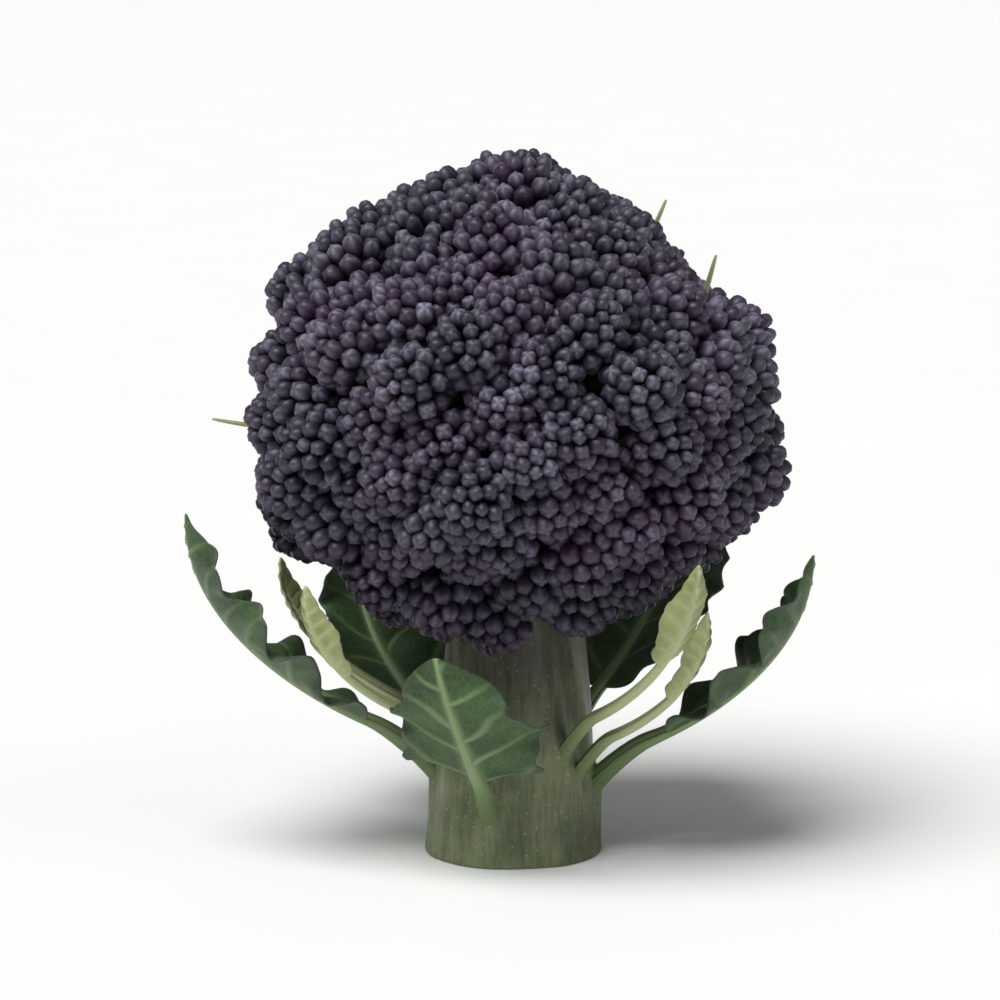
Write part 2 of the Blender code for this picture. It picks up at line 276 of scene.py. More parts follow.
def linear(hex_colour: str) -> tuple[float, float, float, float]:
    """An sRGB hex colour as linear red, green, blue and alpha.

    Args:
        hex_colour: Six hex digits.

    Returns:
        The linear colour, fully opaque.
    """
    parts = [int(hex_colour[i : i + 2], 16) / 255 for i in (0, 2, 4)]
    red, green, blue = (p / 12.92 if p <= 0.04045 else ((p + 0.055) / 1.055) ** 2.4 for p in parts)
    return red, green, blue, 1.0


def per_metre(millimetres: float) -> float:
    """The scale of a pattern on Object coordinates that repeats every so many millimetres."""
    return 1 / (millimetres * MM)


def add_node(tree: bpy.types.NodeTree, kind: str, settings: dict | None = None,
             links: dict | None = None) -> bpy.types.Node:
    """Adds a shader node to a tree.

    Args:
        tree: The material's or world's node tree.
        kind: The node's type, without the ShaderNode that all begin with.
        settings: Values for its own settings by name, or for its inputs by name or number.
        links: The output that feeds each input, by the input's name or number.

    Returns:
        The new node.
    """
    node = tree.nodes.new("ShaderNode" + kind)
    for name, value in (settings or {}).items():
        if isinstance(name, str) and hasattr(node, name):
            setattr(node, name, value)
        else:
            node.inputs[name].default_value = value
    for name, output in (links or {}).items():
        tree.links.new(output, node.inputs[name])
    return node


@dataclass(frozen=True)
class Finish:
    """A material of the head. Each kind paints its own colour, roughness and relief.

    Inputs that share a name go by number. On Map Range 1 and 2 are the values it starts from, lowest
    and highest, and 3 and 4 the values it turns them to; on Mix 0 is the share, and 6 and 7 are the
    colour below and the one laid over it.
    """

    title: str

    def material(self) -> bpy.types.Material:
        """Makes the material and paints it.

        Returns:
            The material.
        """
        made = bpy.data.materials.new(self.title)
        made.use_nodes = True
        self.paint(made.node_tree, made.node_tree.nodes["Principled BSDF"])
        return made

    def paint(self, tree: bpy.types.NodeTree, shader: bpy.types.Node) -> None:
        """Adds the finish's nodes and feeds them to the shader.

        Args:
            tree: The material's node tree.
            shader: Its Principled shader.
        """
        raise NotImplementedError


@dataclass(frozen=True)
class BudBloom(Finish):
    """Skin of closed purple buds under a bloom of wax, with painted light and shade on each bud.

    A dull grey-lilac veil, partly wax and partly a painted highlight on the tips, lies on the tips
    and ridges over a skin that is nearly black. Each bud's foot is left dark as a painted shade
    between the buds, and the lower buds get less of the veil, a painted shade low on the head. The
    skin has plum and blue patches and a hint of green where a bud joins its stem.
    """

    title: str = "bud_skin_with_wax_and_painted_light"
    plum: str = "251a2d"
    ink: str = "1a1d2b"
    magenta: str = "48234a"
    green: str = "3a4531"
    # Colour of the wax, and of the painted highlight on the buds' tips
    bloom_and_highlight: str = "a6a1b8"
    patch_mm: float = 21
    veil_mm: float = 5.5
    grain_mm: float = 0.7
    grain_depth_mm: float = 0.12

    def paint(self, tree: bpy.types.NodeTree, shader: bpy.types.Node) -> None:
        """Mixes skin, tinge, and a veil of wax and painted light, by place and by the bud's own along,
        ridge and tone values.

        Args:
            tree: The material's node tree.
            shader: Its Principled shader.
        """
        place = add_node(tree, "TexCoord").outputs["Object"]
        patch, veil_noise, grain = (
            add_node(tree, "TexNoise", {"Scale": per_metre(size), "Detail": detail}, {"Vector": place})
            for size, detail in ((self.patch_mm, 2), (self.veil_mm, 3), (self.grain_mm, 2)))
        parts = add_node(tree, "SeparateColor", {}, {0: patch.outputs["Color"]})
        along, ridge, tone = (add_node(tree, "Attribute", {"attribute_name": name}).outputs["Fac"]
                              for name in ("along", "ridge", "tone"))

        blue_share = add_node(tree, "MapRange", {1: 0.38, 2: 0.62}, {0: parts.outputs[0]})
        tinge = add_node(tree, "MapRange", {1: 0.46, 2: 0.74, 4: 0.5}, {0: parts.outputs[1]})
        foot = add_node(tree, "MapRange", {1: 0.42, 2: 0.08, 4: 0.8}, {0: along})

        # The veil is strongest at a bud's tip, partly wax and partly a painted highlight, and weakest at
        # its foot, a painted shade between the buds; it is stronger on the ridges, in clouds, and some buds
        # have more, while the lower buds have less, a painted shade low on the head
        wax_and_painted_light = add_node(tree, "MapRange", {1: 0.35, 2: 1.0, 3: 0.12, 4: 1.0}, {0: along})
        crest = add_node(tree, "MapRange", {3: 0.25, 4: 1.0}, {0: ridge})
        cloud = add_node(tree, "MapRange", {1: 0.3, 2: 0.7, 3: 0.35, 4: 1.0},
                         {0: veil_noise.outputs["Fac"]})
        own = add_node(tree, "MapRange", {3: 0.04, 4: 1.0}, {0: tone})
        for share in (crest, cloud, own):
            wax_and_painted_light = add_node(tree, "Math", {"operation": "MULTIPLY"},
                            {0: wax_and_painted_light.outputs[0], 1: share.outputs[0]})
        colour = add_node(tree, "Mix", {"data_type": "RGBA", 6: linear(self.plum), 7: linear(self.ink)},
                          {0: blue_share.outputs[0]})
        for over, share in ((self.magenta, tinge), (self.green, foot), (self.bloom_and_highlight, wax_and_painted_light)):
            colour = add_node(tree, "Mix", {"data_type": "RGBA", 7: linear(over)},
                              {0: share.outputs[0], 6: colour.outputs[2]})
        tree.links.new(colour.outputs[2], shader.inputs["Base Color"])
        dullness = add_node(tree, "MapRange", {2: 0.5, 3: 0.42, 4: 0.62}, {0: wax_and_painted_light.outputs[0]})
        tree.links.new(dullness.outputs[0], shader.inputs["Roughness"])
        relief = add_node(tree, "Bump", {"Strength": 0.35, "Distance": self.grain_depth_mm * MM},
                          {"Height": grain.outputs["Fac"]})
        tree.links.new(relief.outputs[0], shader.inputs["Normal"])
        shader.inputs["IOR"].default_value = WAX_IOR


@dataclass(frozen=True)
class StemSkin(Finish):
    """Skin of living stems: green with long fibres showing through, purple towards the buds.

    A thin coat of wax leaves it between dull and glossy, and pale pores dot it.
    """

    title: str = "stem_skin"
    pale: str = "77835b"
    deep: str = "4f6039"
    purple: str = "553a52"
    wax: str = "a9b592"
    fibre_mm: float = 1.6
    fibre_depth_mm: float = 0.25
    strand_mm: float = 0.55  # the finer fibres between them
    pore_mm: float = 1.3  # from one pore to the next
    blotch_mm: float = 11
    stretch: float = 0.12  # how wide a fibre is for its length

    def paint(self, tree: bpy.types.NodeTree, shader: bpy.types.Node) -> None:
        """Mixes two greens by fibres and blotches, then purple by the stem's own "tinge" value.

        Args:
            tree: The material's node tree.
            shader: Its Principled shader.
        """
        place = add_node(tree, "TexCoord").outputs["Object"]
        drawn_out = add_node(tree, "Mapping", {"Scale": (1, 1, self.stretch)}, {"Vector": place})
        fibres, strands, blotch = (
            add_node(tree, "TexNoise", {"Scale": per_metre(size), "Detail": detail}, {"Vector": where})
            for size, detail, where in ((self.fibre_mm, 4, drawn_out.outputs[0]),
                                        (self.strand_mm, 2, drawn_out.outputs[0]),
                                        (self.blotch_mm, 3, place)))
        both = add_node(tree, "Math", {"operation": "MULTIPLY_ADD", 1: 0.55},
                        {0: fibres.outputs["Fac"], 2: blotch.outputs["Fac"]})
        all_three = add_node(tree, "Math", {"operation": "MULTIPLY_ADD", 1: 0.5},
                             {0: strands.outputs["Fac"], 2: both.outputs[0]})
        green_share = add_node(tree, "MapRange", {1: 0.86, 2: 1.22}, {0: all_three.outputs[0]})
        patchy = add_node(tree, "MapRange", {1: 0.3, 2: 0.65, 3: 0.35, 4: 1.0},
                          {0: blotch.outputs["Fac"]})
        tinge = add_node(tree, "Attribute", {"attribute_name": "tinge"})
        purpled = add_node(tree, "Math", {"operation": "MULTIPLY"},
                           {0: tinge.outputs["Fac"], 1: patchy.outputs[0]})
        pores = add_node(tree, "TexVoronoi", {"Scale": per_metre(self.pore_mm)}, {"Vector": place})
        pore = add_node(tree, "MapRange", {1: 0.2, 2: 0.08, 4: 0.45}, {0: pores.outputs["Distance"]})
        colour = add_node(tree, "Mix", {"data_type": "RGBA", 6: linear(self.pale), 7: linear(self.deep)},
                          {0: green_share.outputs[0]})
        for over, share in ((self.purple, purpled), (self.wax, pore)):
            colour = add_node(tree, "Mix", {"data_type": "RGBA", 7: linear(over)},
                              {0: share.outputs[0], 6: colour.outputs[2]})
        tree.links.new(colour.outputs[2], shader.inputs["Base Color"])
        dullness = add_node(tree, "MapRange", {3: 0.36, 4: 0.56}, {0: fibres.outputs["Fac"]})
        tree.links.new(dullness.outputs[0], shader.inputs["Roughness"])
        relief = add_node(tree, "Bump", {"Strength": 0.6, "Distance": self.fibre_depth_mm * MM},
                          {"Height": all_three.outputs[0]})
        tree.links.new(relief.outputs[0], shader.inputs["Normal"])
        shader.inputs["IOR"].default_value = WAX_IOR
        shader.inputs["Subsurface Weight"].default_value = 0.08
        shader.inputs["Subsurface Radius"].default_value = (0.6, 1.0, 0.3)
        shader.inputs["Subsurface Scale"].default_value = 1.5 * MM


@dataclass(frozen=True)
class CutPith(Finish):
    """Flesh of the stalk where a knife cut it: cream pith, a ring of wet green vessels, green rind."""

    title: str = "knife_cut_pith"
    middle: tuple[float, float] = (0.0, 0.0)
    radius: float = 15.5 * MM
    pith: str = "dfe3bf"
    vessels: str = "a9bd84"
    rind: str = "7f9860"
    strand_mm: float = 1.1
    strand_depth_mm: float = 0.2

    def paint(self, tree: bpy.types.NodeTree, shader: bpy.types.Node) -> None:
        """Colours the cut by distance from the stalk's middle, with a cell pattern of strands.

        Args:
            tree: The material's node tree.
            shader: Its Principled shader.
        """
        place = add_node(tree, "TexCoord").outputs["Object"]
        centred = add_node(tree, "Mapping",
                           {"Location": (-self.middle[0], -self.middle[1], 0), "Scale": (1, 1, 0)},
                           {"Vector": place})
        out = add_node(tree, "VectorMath", {"operation": "LENGTH"}, {0: centred.outputs[0]})
        share = add_node(tree, "Math", {"operation": "DIVIDE", 1: self.radius}, {0: out.outputs["Value"]})
        strands = add_node(tree, "TexVoronoi", {"Scale": per_metre(self.strand_mm)}, {"Vector": place})
        waver = add_node(tree, "Math", {"operation": "MULTIPLY_ADD", 1: 0.06},
                         {0: strands.outputs["Distance"], 2: share.outputs[0]})
        ring = add_node(tree, "MapRange", {1: 0.62, 2: 0.78}, {0: waver.outputs[0]})
        edge = add_node(tree, "MapRange", {1: 0.86, 2: 0.94}, {0: waver.outputs[0]})
        inner = add_node(tree, "Mix", {"data_type": "RGBA", 6: linear(self.pith), 7: linear(self.vessels)},
                         {0: ring.outputs[0]})
        colour = add_node(tree, "Mix", {"data_type": "RGBA", 7: linear(self.rind)},
                          {0: edge.outputs[0], 6: inner.outputs[2]})
        tree.links.new(colour.outputs[2], shader.inputs["Base Color"])
        relief = add_node(tree, "Bump", {"Strength": 0.4, "Distance": self.strand_depth_mm * MM},
                          {"Height": strands.outputs["Distance"]})
        tree.links.new(relief.outputs[0], shader.inputs["Normal"])
        shader.inputs["Roughness"].default_value = 0.42
        shader.inputs["Subsurface Weight"].default_value = 0.15
        shader.inputs["Subsurface Scale"].default_value = 2 * MM


@dataclass(frozen=True)
class LeafSkin(Finish):
    """Skin of a leaf under thin wax, which dulls its gloss.

    Two greens in clouds, paler veins, a net of fine veins, and a purple tinge at the edge.
    """

    title: str = "brassica_leaf_blade"
    deep: str = "253c1e"
    fresh: str = "3b592f"
    vein: str = "849a6c"
    edge: str = "4b4650"
    foot: str = "607248"
    edge_share: float = 0.3
    roughness: tuple[float, float] = (0.46, 0.62)
    cloud_mm: float = 9
    net_mm: float = 1.4  # from one fine vein to the next
    net_depth_mm: float = 0.25

    def paint(self, tree: bpy.types.NodeTree, shader: bpy.types.Node) -> None:
        """Mixes the greens by cloud and net, then vein, edge and foot colours by the leaf's values.

        Args:
            tree: The material's node tree.
            shader: Its Principled shader.
        """
        place = add_node(tree, "TexCoord").outputs["Object"]
        cloud = add_node(tree, "TexNoise", {"Scale": per_metre(self.cloud_mm), "Detail": 4},
                         {"Vector": place})
        net = add_node(tree, "TexVoronoi", {"feature": "DISTANCE_TO_EDGE", "Scale": per_metre(self.net_mm)},
                       {"Vector": place})
        green_share = add_node(tree, "MapRange", {1: 0.34, 2: 0.66}, {0: cloud.outputs["Fac"]})
        net_share = add_node(tree, "MapRange", {1: 0.12, 2: 0.0, 4: 0.11}, {0: net.outputs["Distance"]})
        vein, rim, foot = (add_node(tree, "Attribute", {"attribute_name": name}).outputs["Fac"]
                           for name in ("vein", "rim", "foot"))
        edged = add_node(tree, "Math", {"operation": "MULTIPLY", 1: self.edge_share}, {0: rim})
        colour = add_node(tree, "Mix", {"data_type": "RGBA", 6: linear(self.deep), 7: linear(self.fresh)},
                          {0: green_share.outputs[0]})
        for over, share in ((self.vein, net_share.outputs[0]), (self.vein, vein),
                            (self.edge, edged.outputs[0]), (self.foot, foot)):
            colour = add_node(tree, "Mix", {"data_type": "RGBA", 7: linear(over)},
                              {0: share, 6: colour.outputs[2]})
        tree.links.new(colour.outputs[2], shader.inputs["Base Color"])
        dullness = add_node(tree, "MapRange", {3: self.roughness[0], 4: self.roughness[1]},
                            {0: cloud.outputs["Fac"]})
        tree.links.new(dullness.outputs[0], shader.inputs["Roughness"])
        relief = add_node(tree, "Bump", {"Strength": 0.45, "Distance": self.net_depth_mm * MM},
                          {"Height": net.outputs["Distance"]})
        tree.links.new(relief.outputs[0], shader.inputs["Normal"])
        shader.inputs["IOR"].default_value = WAX_IOR
        shader.inputs["Subsurface Weight"].default_value = 0.06
        shader.inputs["Subsurface Scale"].default_value = 1 * MM


@dataclass(frozen=True)
class FloorPaper(Finish):
    """Matt white studio paper with a barely visible cloudiness."""

    title: str = "matt_studio_paper"
    light: str = "fcfcfb"
    shade: str = "f8f8f6"
    cloud_mm: float = 90

    def paint(self, tree: bpy.types.NodeTree, shader: bpy.types.Node) -> None:
        """Mixes two near whites by a wide noise.

        Args:
            tree: The material's node tree.
            shader: Its Principled shader.
        """
        place = add_node(tree, "TexCoord").outputs["Object"]
        cloud = add_node(tree, "TexNoise", {"Scale": per_metre(self.cloud_mm), "Detail": 2},
                         {"Vector": place})
        colour = add_node(tree, "Mix", {"data_type": "RGBA", 6: linear(self.light), 7: linear(self.shade)},
                          {0: cloud.outputs["Fac"]})
        tree.links.new(colour.outputs[2], shader.inputs["Base Color"])
        shader.inputs["Roughness"].default_value = 0.9
        shader.inputs["Specular IOR Level"].default_value = 0.2


# ---- pieces --------------------------------------------------------------------------------------


def make_mesh(name: str, surface: Surface) -> bpy.types.Mesh:
    """Turns a surface into a smooth-shaded mesh that carries its values as attributes.

    Args:
        name: The mesh's name.
        surface: The surface.

    Returns:
        The mesh.
    """
    quads, triangles = surface.quads, surface.triangles
    corners = np.concatenate([quads.ravel(), triangles.ravel()]).astype(np.int32)
    face_starts = np.concatenate([np.arange(len(quads)) * 4,
                                  len(quads) * 4 + np.arange(len(triangles)) * 3]).astype(np.int32)
    mesh = bpy.data.meshes.new(name)
    mesh.vertices.add(len(surface.points))
    mesh.vertices.foreach_set("co", surface.points.ravel())
    mesh.loops.add(len(corners))
    mesh.loops.foreach_set("vertex_index", corners)
    mesh.polygons.add(len(face_starts))
    mesh.polygons.foreach_set("loop_start", face_starts)
    mesh.update(calc_edges=True)
    for attribute, values in surface.values.items():
        mesh.attributes.new(attribute, "FLOAT", "POINT").data.foreach_set("value", values)
    mesh.shade_smooth()
    return mesh


def make_piece(name: str, surface: Surface, materials: list[bpy.types.Material],
               replaces: list[str]) -> bpy.types.Object:
    """Makes a piece of the head that rides on its one body.

    Args:
        name: The piece's name.
        surface: Its surface.
        materials: Its finishes. All its faces have the first.
        replaces: The CAD nodes that it stands for, if any.

    Returns:
        The new object.
    """
    mesh = make_mesh(name, surface)
    for material in materials:
        mesh.materials.append(material)
    piece = bpy.data.objects.new(name, mesh)
    bpy.context.scene.collection.objects.link(piece)
    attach(piece, "root")
    if replaces:
        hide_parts(*replaces)
    LOG.info("%s: %d faces, stands for %s", name, len(mesh.polygons), ", ".join(replaces) or "nothing")
    return piece


# ---- the plan of the head, as the CAD model has it -----------------------------------------------


@dataclass
class HeadPlan:
    """Sizes of the head and the places where its crowns, umbels and branches are."""

    head_radius: float = 47 * MM
    head_height: float = 95 * MM
    stub_height: float = 30 * MM
    widest_share: float = 0.52
    foot_share: float = 1.02
    lowest_crown_share: float = 0.80
    lowest_umbel_share: float = 0.91
    shoulder_power: float = 0.75
    foot_power: float = 1.3
    outline_steps: int = 400
    crowns: int = 21
    umbels: int = 164
    umbel_radius: float = 7.6 * MM
    bulge: float = 2.6 * MM
    bulge_width: float = 17 * MM
    core_depth: float = 9.5 * MM
    underside: float = 6.5 * MM
    lift: float = 0.35  # how much higher a crown faces than the bud surface does
    clearance: float = 0.3 * MM  # between a branch's end and its crown
    cut_radius: float = 15.5 * MM
    neck_radius: float = 13.5 * MM
    neck_height: float = 24 * MM
    tip_radius: float = 5 * MM
    low_branch_radius: float = 3.5 * MM
    top_branch_radius: float = 2.5 * MM
    top_branch_drop: float = 20 * MM
    branch_out: float = 0.7  # a branch leaves the stalk by this much outwards
    branch_up: float = 0.4  # and this much upwards
    branch_leave: float = 0.4  # share of its length over which it keeps that direction
    branch_arrive: float = 0.3  # and over which it faces the way its crown does

    def __post_init__(self) -> None:
        """Finds the head's axis from the CAD stalk, and plans crowns, umbels and branch starts."""
        low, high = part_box("stalk")
        self.axis = np.array([(low[0] + high[0]) / 2, (low[1] + high[1]) / 2, 0.0])
        self.tip_height = high[2]
        places, normals = self.spiral(self.crowns, self.lowest_crown_share, True)
        self.facing = unit(normals + UP * self.lift)
        self.cores = places - self.facing * self.core_depth
        places, self.umbel_facing = self.spiral(self.umbels, self.lowest_umbel_share, False)
        apart = np.linalg.norm(places[:, None] - (self.cores + self.facing * self.core_depth)[None], axis=2)
        self.owner = apart.argmin(axis=1)
        proud = self.bulge * (1 - np.minimum(apart.min(axis=1) / self.bulge_width, 1) ** 2)
        raised = proud - self.umbel_radius - self.bulge / 2
        self.umbel_centres = places + self.umbel_facing * raised[:, None]
        first, last = self.tip_height - self.top_branch_drop, self.stub_height + self.low_branch_radius
        self.branch_starts = np.linspace(first, last, self.crowns - 1)
        self.branch_radii = np.linspace(self.top_branch_radius, self.low_branch_radius, self.crowns - 1)

    def outline(self, share: np.ndarray) -> tuple[np.ndarray, np.ndarray]:
        """The bud surface's radius and height at a share of the head's height from its top.

        Above the widest ring it is a quarter sine wave of a slowed share, below it a quarter cosine.

        Args:
            share: 0 at the top to 1 at the foot.

        Returns:
            Radius and height.
        """
        upper = np.clip(share / self.widest_share, 0, 1) ** self.shoulder_power
        below = (share - self.widest_share) / (self.foot_share - self.widest_share)
        lower = np.clip(below, 0, 1) ** self.foot_power
        radius = self.head_radius * np.sin(math.pi / 2 * upper) * np.cos(math.pi / 2 * lower)
        return radius, self.stub_height + self.head_height * (1 - share)

    def surface_radius(self, height: np.ndarray) -> np.ndarray:
        """Radius of the bud surface at a height.

        Args:
            height: Heights above the cut face.

        Returns:
            The radius at each, which is 0 below the lowest buds.
        """
        share = 1 - (height - self.stub_height) / self.head_height
        inside = self.outline(np.clip(share, 0, self.foot_share))[0]
        return np.where(share < self.foot_share, inside, 0.0)

    def stalk_radius(self, height: np.ndarray) -> np.ndarray:
        """Radius of the stalk at a height. It narrows to its neck and from there up to its tip."""
        levels = [0, self.neck_height, self.tip_height]
        return np.interp(height, levels, [self.cut_radius, self.neck_radius, self.tip_radius])

    def spiral(self, count: int, lowest_share: float, starts_at_top: bool) -> tuple[np.ndarray, np.ndarray]:
        """Points spread evenly by area over the bud surface, one golden angle round from the last.

        Args:
            count: How many points.
            lowest_share: Share of the head's height that they reach down to.
            starts_at_top: Whether the first stands on the very top.

        Returns:
            Places, and unit directions out of the surface.
        """
        shares = np.linspace(0, lowest_share, self.outline_steps)
        radius, height = self.outline(shares)
        band_area = (radius[1:] + radius[:-1]) * np.hypot(np.diff(radius), np.diff(height))
        area = np.concatenate([[0], np.cumsum(band_area)])
        order = np.arange(count) + 0.5
        if starts_at_top:
            order[0] = 0
        share = np.interp(order / count * area[-1], area, shares)
        angle = np.arange(count) * GOLDEN_ANGLE
        ring, level = self.outline(share)
        next_ring, next_level = self.outline(share + 1 / self.outline_steps)
        out = unit(np.stack([level - next_level, next_ring - ring], axis=1))
        if starts_at_top:
            out[0] = (0, 1)
        turn = np.stack([np.cos(angle), np.sin(angle)], axis=1)
        places = np.concatenate([ring[:, None] * turn, level[:, None]], axis=1)
        return places, np.concatenate([out[:, :1] * turn, out[:, 1:]], axis=1)

    def branch_curves(self, rings: int) -> tuple[np.ndarray, np.ndarray]:
        """Middle lines of the branches, as cubic curves from the stalk's middle to the crowns.

        Args:
            rings: Points along each.

        Returns:
            Points and unit directions, both as (branches, rings, 3).
        """
        end = self.cores[1:] - self.facing[1:] * (self.underside + self.clearance)
        start = self.branch_starts[:, None] * UP
        length = np.linalg.norm(end - start, axis=1, keepdims=True)
        outward = unit(end * np.array([1, 1, 0]))
        leave = start + (outward * self.branch_out + UP * self.branch_up) * length * self.branch_leave
        arrive = end - self.facing[1:] * length * self.branch_arrive
        return curves(start, leave, arrive, end, rings)

    def report_fit(self) -> None:
        """Logs how far the planned crowns are from the CAD model's own."""
        boxes = [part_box(f"crown_{i:02d}") for i in range(self.crowns)]
        middles = np.array([(np.array(low) + np.array(high)) / 2 for low, high in boxes]) - self.axis
        off = np.linalg.norm(middles - self.cores, axis=1)
        LOG.info("crown cores are %.1f to %.1f mm from the CAD crowns' middles",
                 off.min() / MM, off.max() / MM)


# ---- buds ----------------------------------------------------------------------------------------


@dataclass
class Buds:
    """The closed flower buds of every umbel: where each one stands, how big it is and its shape."""

    plan: HeadPlan
    material: bpy.types.Material
    tries: int = 30  # buds tried in each umbel
    reach: float = math.radians(107)  # how far round its umbel a bud may stand
    middle_width: float = 2.55 * MM
    rim_width: float = 3.55 * MM
    slimness: float = 1.32  # length over width
    root_depth: float = 5 * MM  # its stems fan out from here, below the umbel's middle
    lean: float = 0.10  # how unevenly the umbels face
    wander: float = 0.6 * MM  # how unevenly they are placed
    umbel_jut: float = 1.3 * MM  # how unevenly they stand in and out
    crown_jut: float = 1.1 * MM  # and how unevenly the crowns do
    top_jut: float = 1 * MM  # the most that the crown on the top does
    brim: float = 1.9 * MM  # how far the umbels round the top's middle stand proud
    brim_height: tuple[float, float] = (98 * MM, 109 * MM)
    brim_off_axis: tuple[float, float] = (3 * MM, 8 * MM)
    shoulder: float = 2.3 * MM  # how far those on the shoulder do
    shoulder_start: tuple[float, float] = (76 * MM, 88 * MM)
    shoulder_end: tuple[float, float] = (96 * MM, 106 * MM)
    crowding: float = 1.08  # above 1 it draws an umbel's buds towards its middle
    polar_scatter: float = 0.04  # share of a bud's angle from its umbel's middle
    turn_scatter: float = 0.12  # radians round it
    depth_scatter: float = 0.28 * MM  # how unevenly buds stand in and out
    umbel_scatter: float = 0.05  # share by which the buds of two umbels differ in size
    bud_scatter: float = 0.06  # and those of one umbel
    sunk: float = 1 * MM  # how deep a bud may stand in a neighbouring umbel
    off_stalk: float = 3 * MM  # the least distance from the stalk
    packing: float = 0.95  # buds stand this share of their widths apart
    crowded: float = 0.8  # and one that has less than this share of that is dropped
    pair_reach: float = 6 * MM  # buds farther apart than this never touch
    rounds: int = 40  # of pushing buds apart
    push: float = 0.3  # share of what two buds lack that one of them moves in a round
    wax_spread: tuple[float, float] = (1.6, 2.5)  # shape of the beta distribution of wax
    low_wax_painted_shade: float = 0.32  # share of the pale veil kept on the lowest buds, a painted shade low on the head
    # Heights over which that painted shade gives way to the full veil
    painted_shade_heights: tuple[float, float] = (42 * MM, 104 * MM)
    sides: int = 8
    seed: int = 11

    def place(self) -> None:
        """Spreads buds over every umbel, pushes them apart and drops the ones with no room."""
        plan, rng = self.plan, np.random.default_rng(self.seed)
        count = plan.umbels
        tilt = unit(plan.umbel_facing + rng.normal(0, self.lean, (count, 3)))
        proud = rng.normal(0, self.umbel_jut, count)
        proud = proud + rng.normal(0, self.crown_jut, plan.crowns)[plan.owner]
        # The crown on the top never sinks, and the umbels round its middle stand proud, so that the
        # head keeps its full height and a broad flat top
        proud = np.where(plan.owner == 0, np.clip(proud, 0, self.top_jut), proud)
        off_axis = np.linalg.norm(plan.umbel_centres[:, :2], axis=1)
        height = plan.umbel_centres[:, 2]
        on_top = smooth_step(*self.brim_height, height) * smooth_step(*self.brim_off_axis, off_axis)
        # The shoulder below it is fuller than the plan's round outline
        on_shoulder = (smooth_step(*self.shoulder_start, height)
                       * (1 - smooth_step(*self.shoulder_end, height)))
        proud = proud + self.brim * on_top + self.shoulder * on_shoulder
        off_place = rng.normal(0, self.wander, (count, 3))
        self.centres = plan.umbel_centres + tilt * proud[:, None] + off_place
        self.roots = self.centres - tilt * self.root_depth
        self.tilt = tilt

        # A golden spiral down each ball: equal steps of height, a little closer together near its top
        order = (np.arange(self.tries) + 0.5) / self.tries
        drop = order**self.crowding * (1 - math.cos(self.reach))
        polar = np.arccos(1 - drop)[None] * rng.normal(1, self.polar_scatter, (count, self.tries))
        turn = np.arange(self.tries)[None] * GOLDEN_ANGLE + rng.uniform(0, 2 * math.pi, (count, 1))
        turn = turn + rng.normal(0, self.turn_scatter, (count, self.tries))
        side = unit(np.cross(tilt, UP + [0.01, 0.02, 0]))
        other = np.cross(tilt, side)
        direction = (np.cos(polar)[..., None] * tilt[:, None]
                     + (np.sin(polar) * np.cos(turn))[..., None] * side[:, None]
                     + (np.sin(polar) * np.sin(turn))[..., None] * other[:, None]).reshape(-1, 3)
        umbel = np.repeat(np.arange(count), self.tries)
        grown = smooth_step(0, 1.3, polar.ravel())
        width = self.middle_width + (self.rim_width - self.middle_width) * grown
        width = width * np.repeat(rng.normal(1, self.umbel_scatter, count), self.tries)
        width = width * rng.normal(1, self.bud_scatter, len(width))
        ball = plan.umbel_radius - width * self.slimness / 2 + rng.normal(0, self.depth_scatter, len(width))
        places = self.centres[umbel] + direction * ball[:, None]

        keep = self.has_room(places, umbel, ball)
        places, umbel, width, ball = places[keep], umbel[keep], width[keep], ball[keep]
        places, near = self.push_apart(places, umbel, width, ball)
        keep = ~near & self.has_room(places, umbel, ball)
        self.places, self.umbel, self.width = places[keep], umbel[keep], width[keep]
        self.length = self.width * self.slimness * rng.normal(1, 0.05, keep.sum())
        self.ahead = unit(self.places - self.roots[self.umbel])
        # Painted shade: the buds low on the head get a thinner pale veil, so the head is darker towards its
        # bottom
        height_painted_light = smooth_step(*self.painted_shade_heights, self.places[:, 2])
        self.tone = rng.beta(*self.wax_spread, keep.sum()) * (self.low_wax_painted_shade + (1 - self.low_wax_painted_shade) * height_painted_light)
        self.roll = rng.uniform(0, 2 * math.pi, keep.sum())
        LOG.info("%d buds in %d umbels", len(self.places), count)

    def has_room(self, places: np.ndarray, umbel: np.ndarray, ball: np.ndarray) -> np.ndarray:
        """Which buds are neither deep inside another umbel nor inside the stalk.

        Args:
            places: The buds' middles.
            umbel: The umbel that each belongs to.
            ball: How far from its umbel's middle each stands.

        Returns:
            True for each bud that may stay.
        """
        apart = np.linalg.norm(places[:, None] - self.centres[None], axis=2)
        apart[np.arange(len(places)), umbel] = np.inf
        free = apart.min(axis=1) > ball - self.sunk
        radius = np.hypot(places[:, 0], places[:, 1])
        above = places[:, 2] > self.plan.tip_height
        return free & (above | (radius > self.plan.stalk_radius(places[:, 2]) + self.off_stalk))

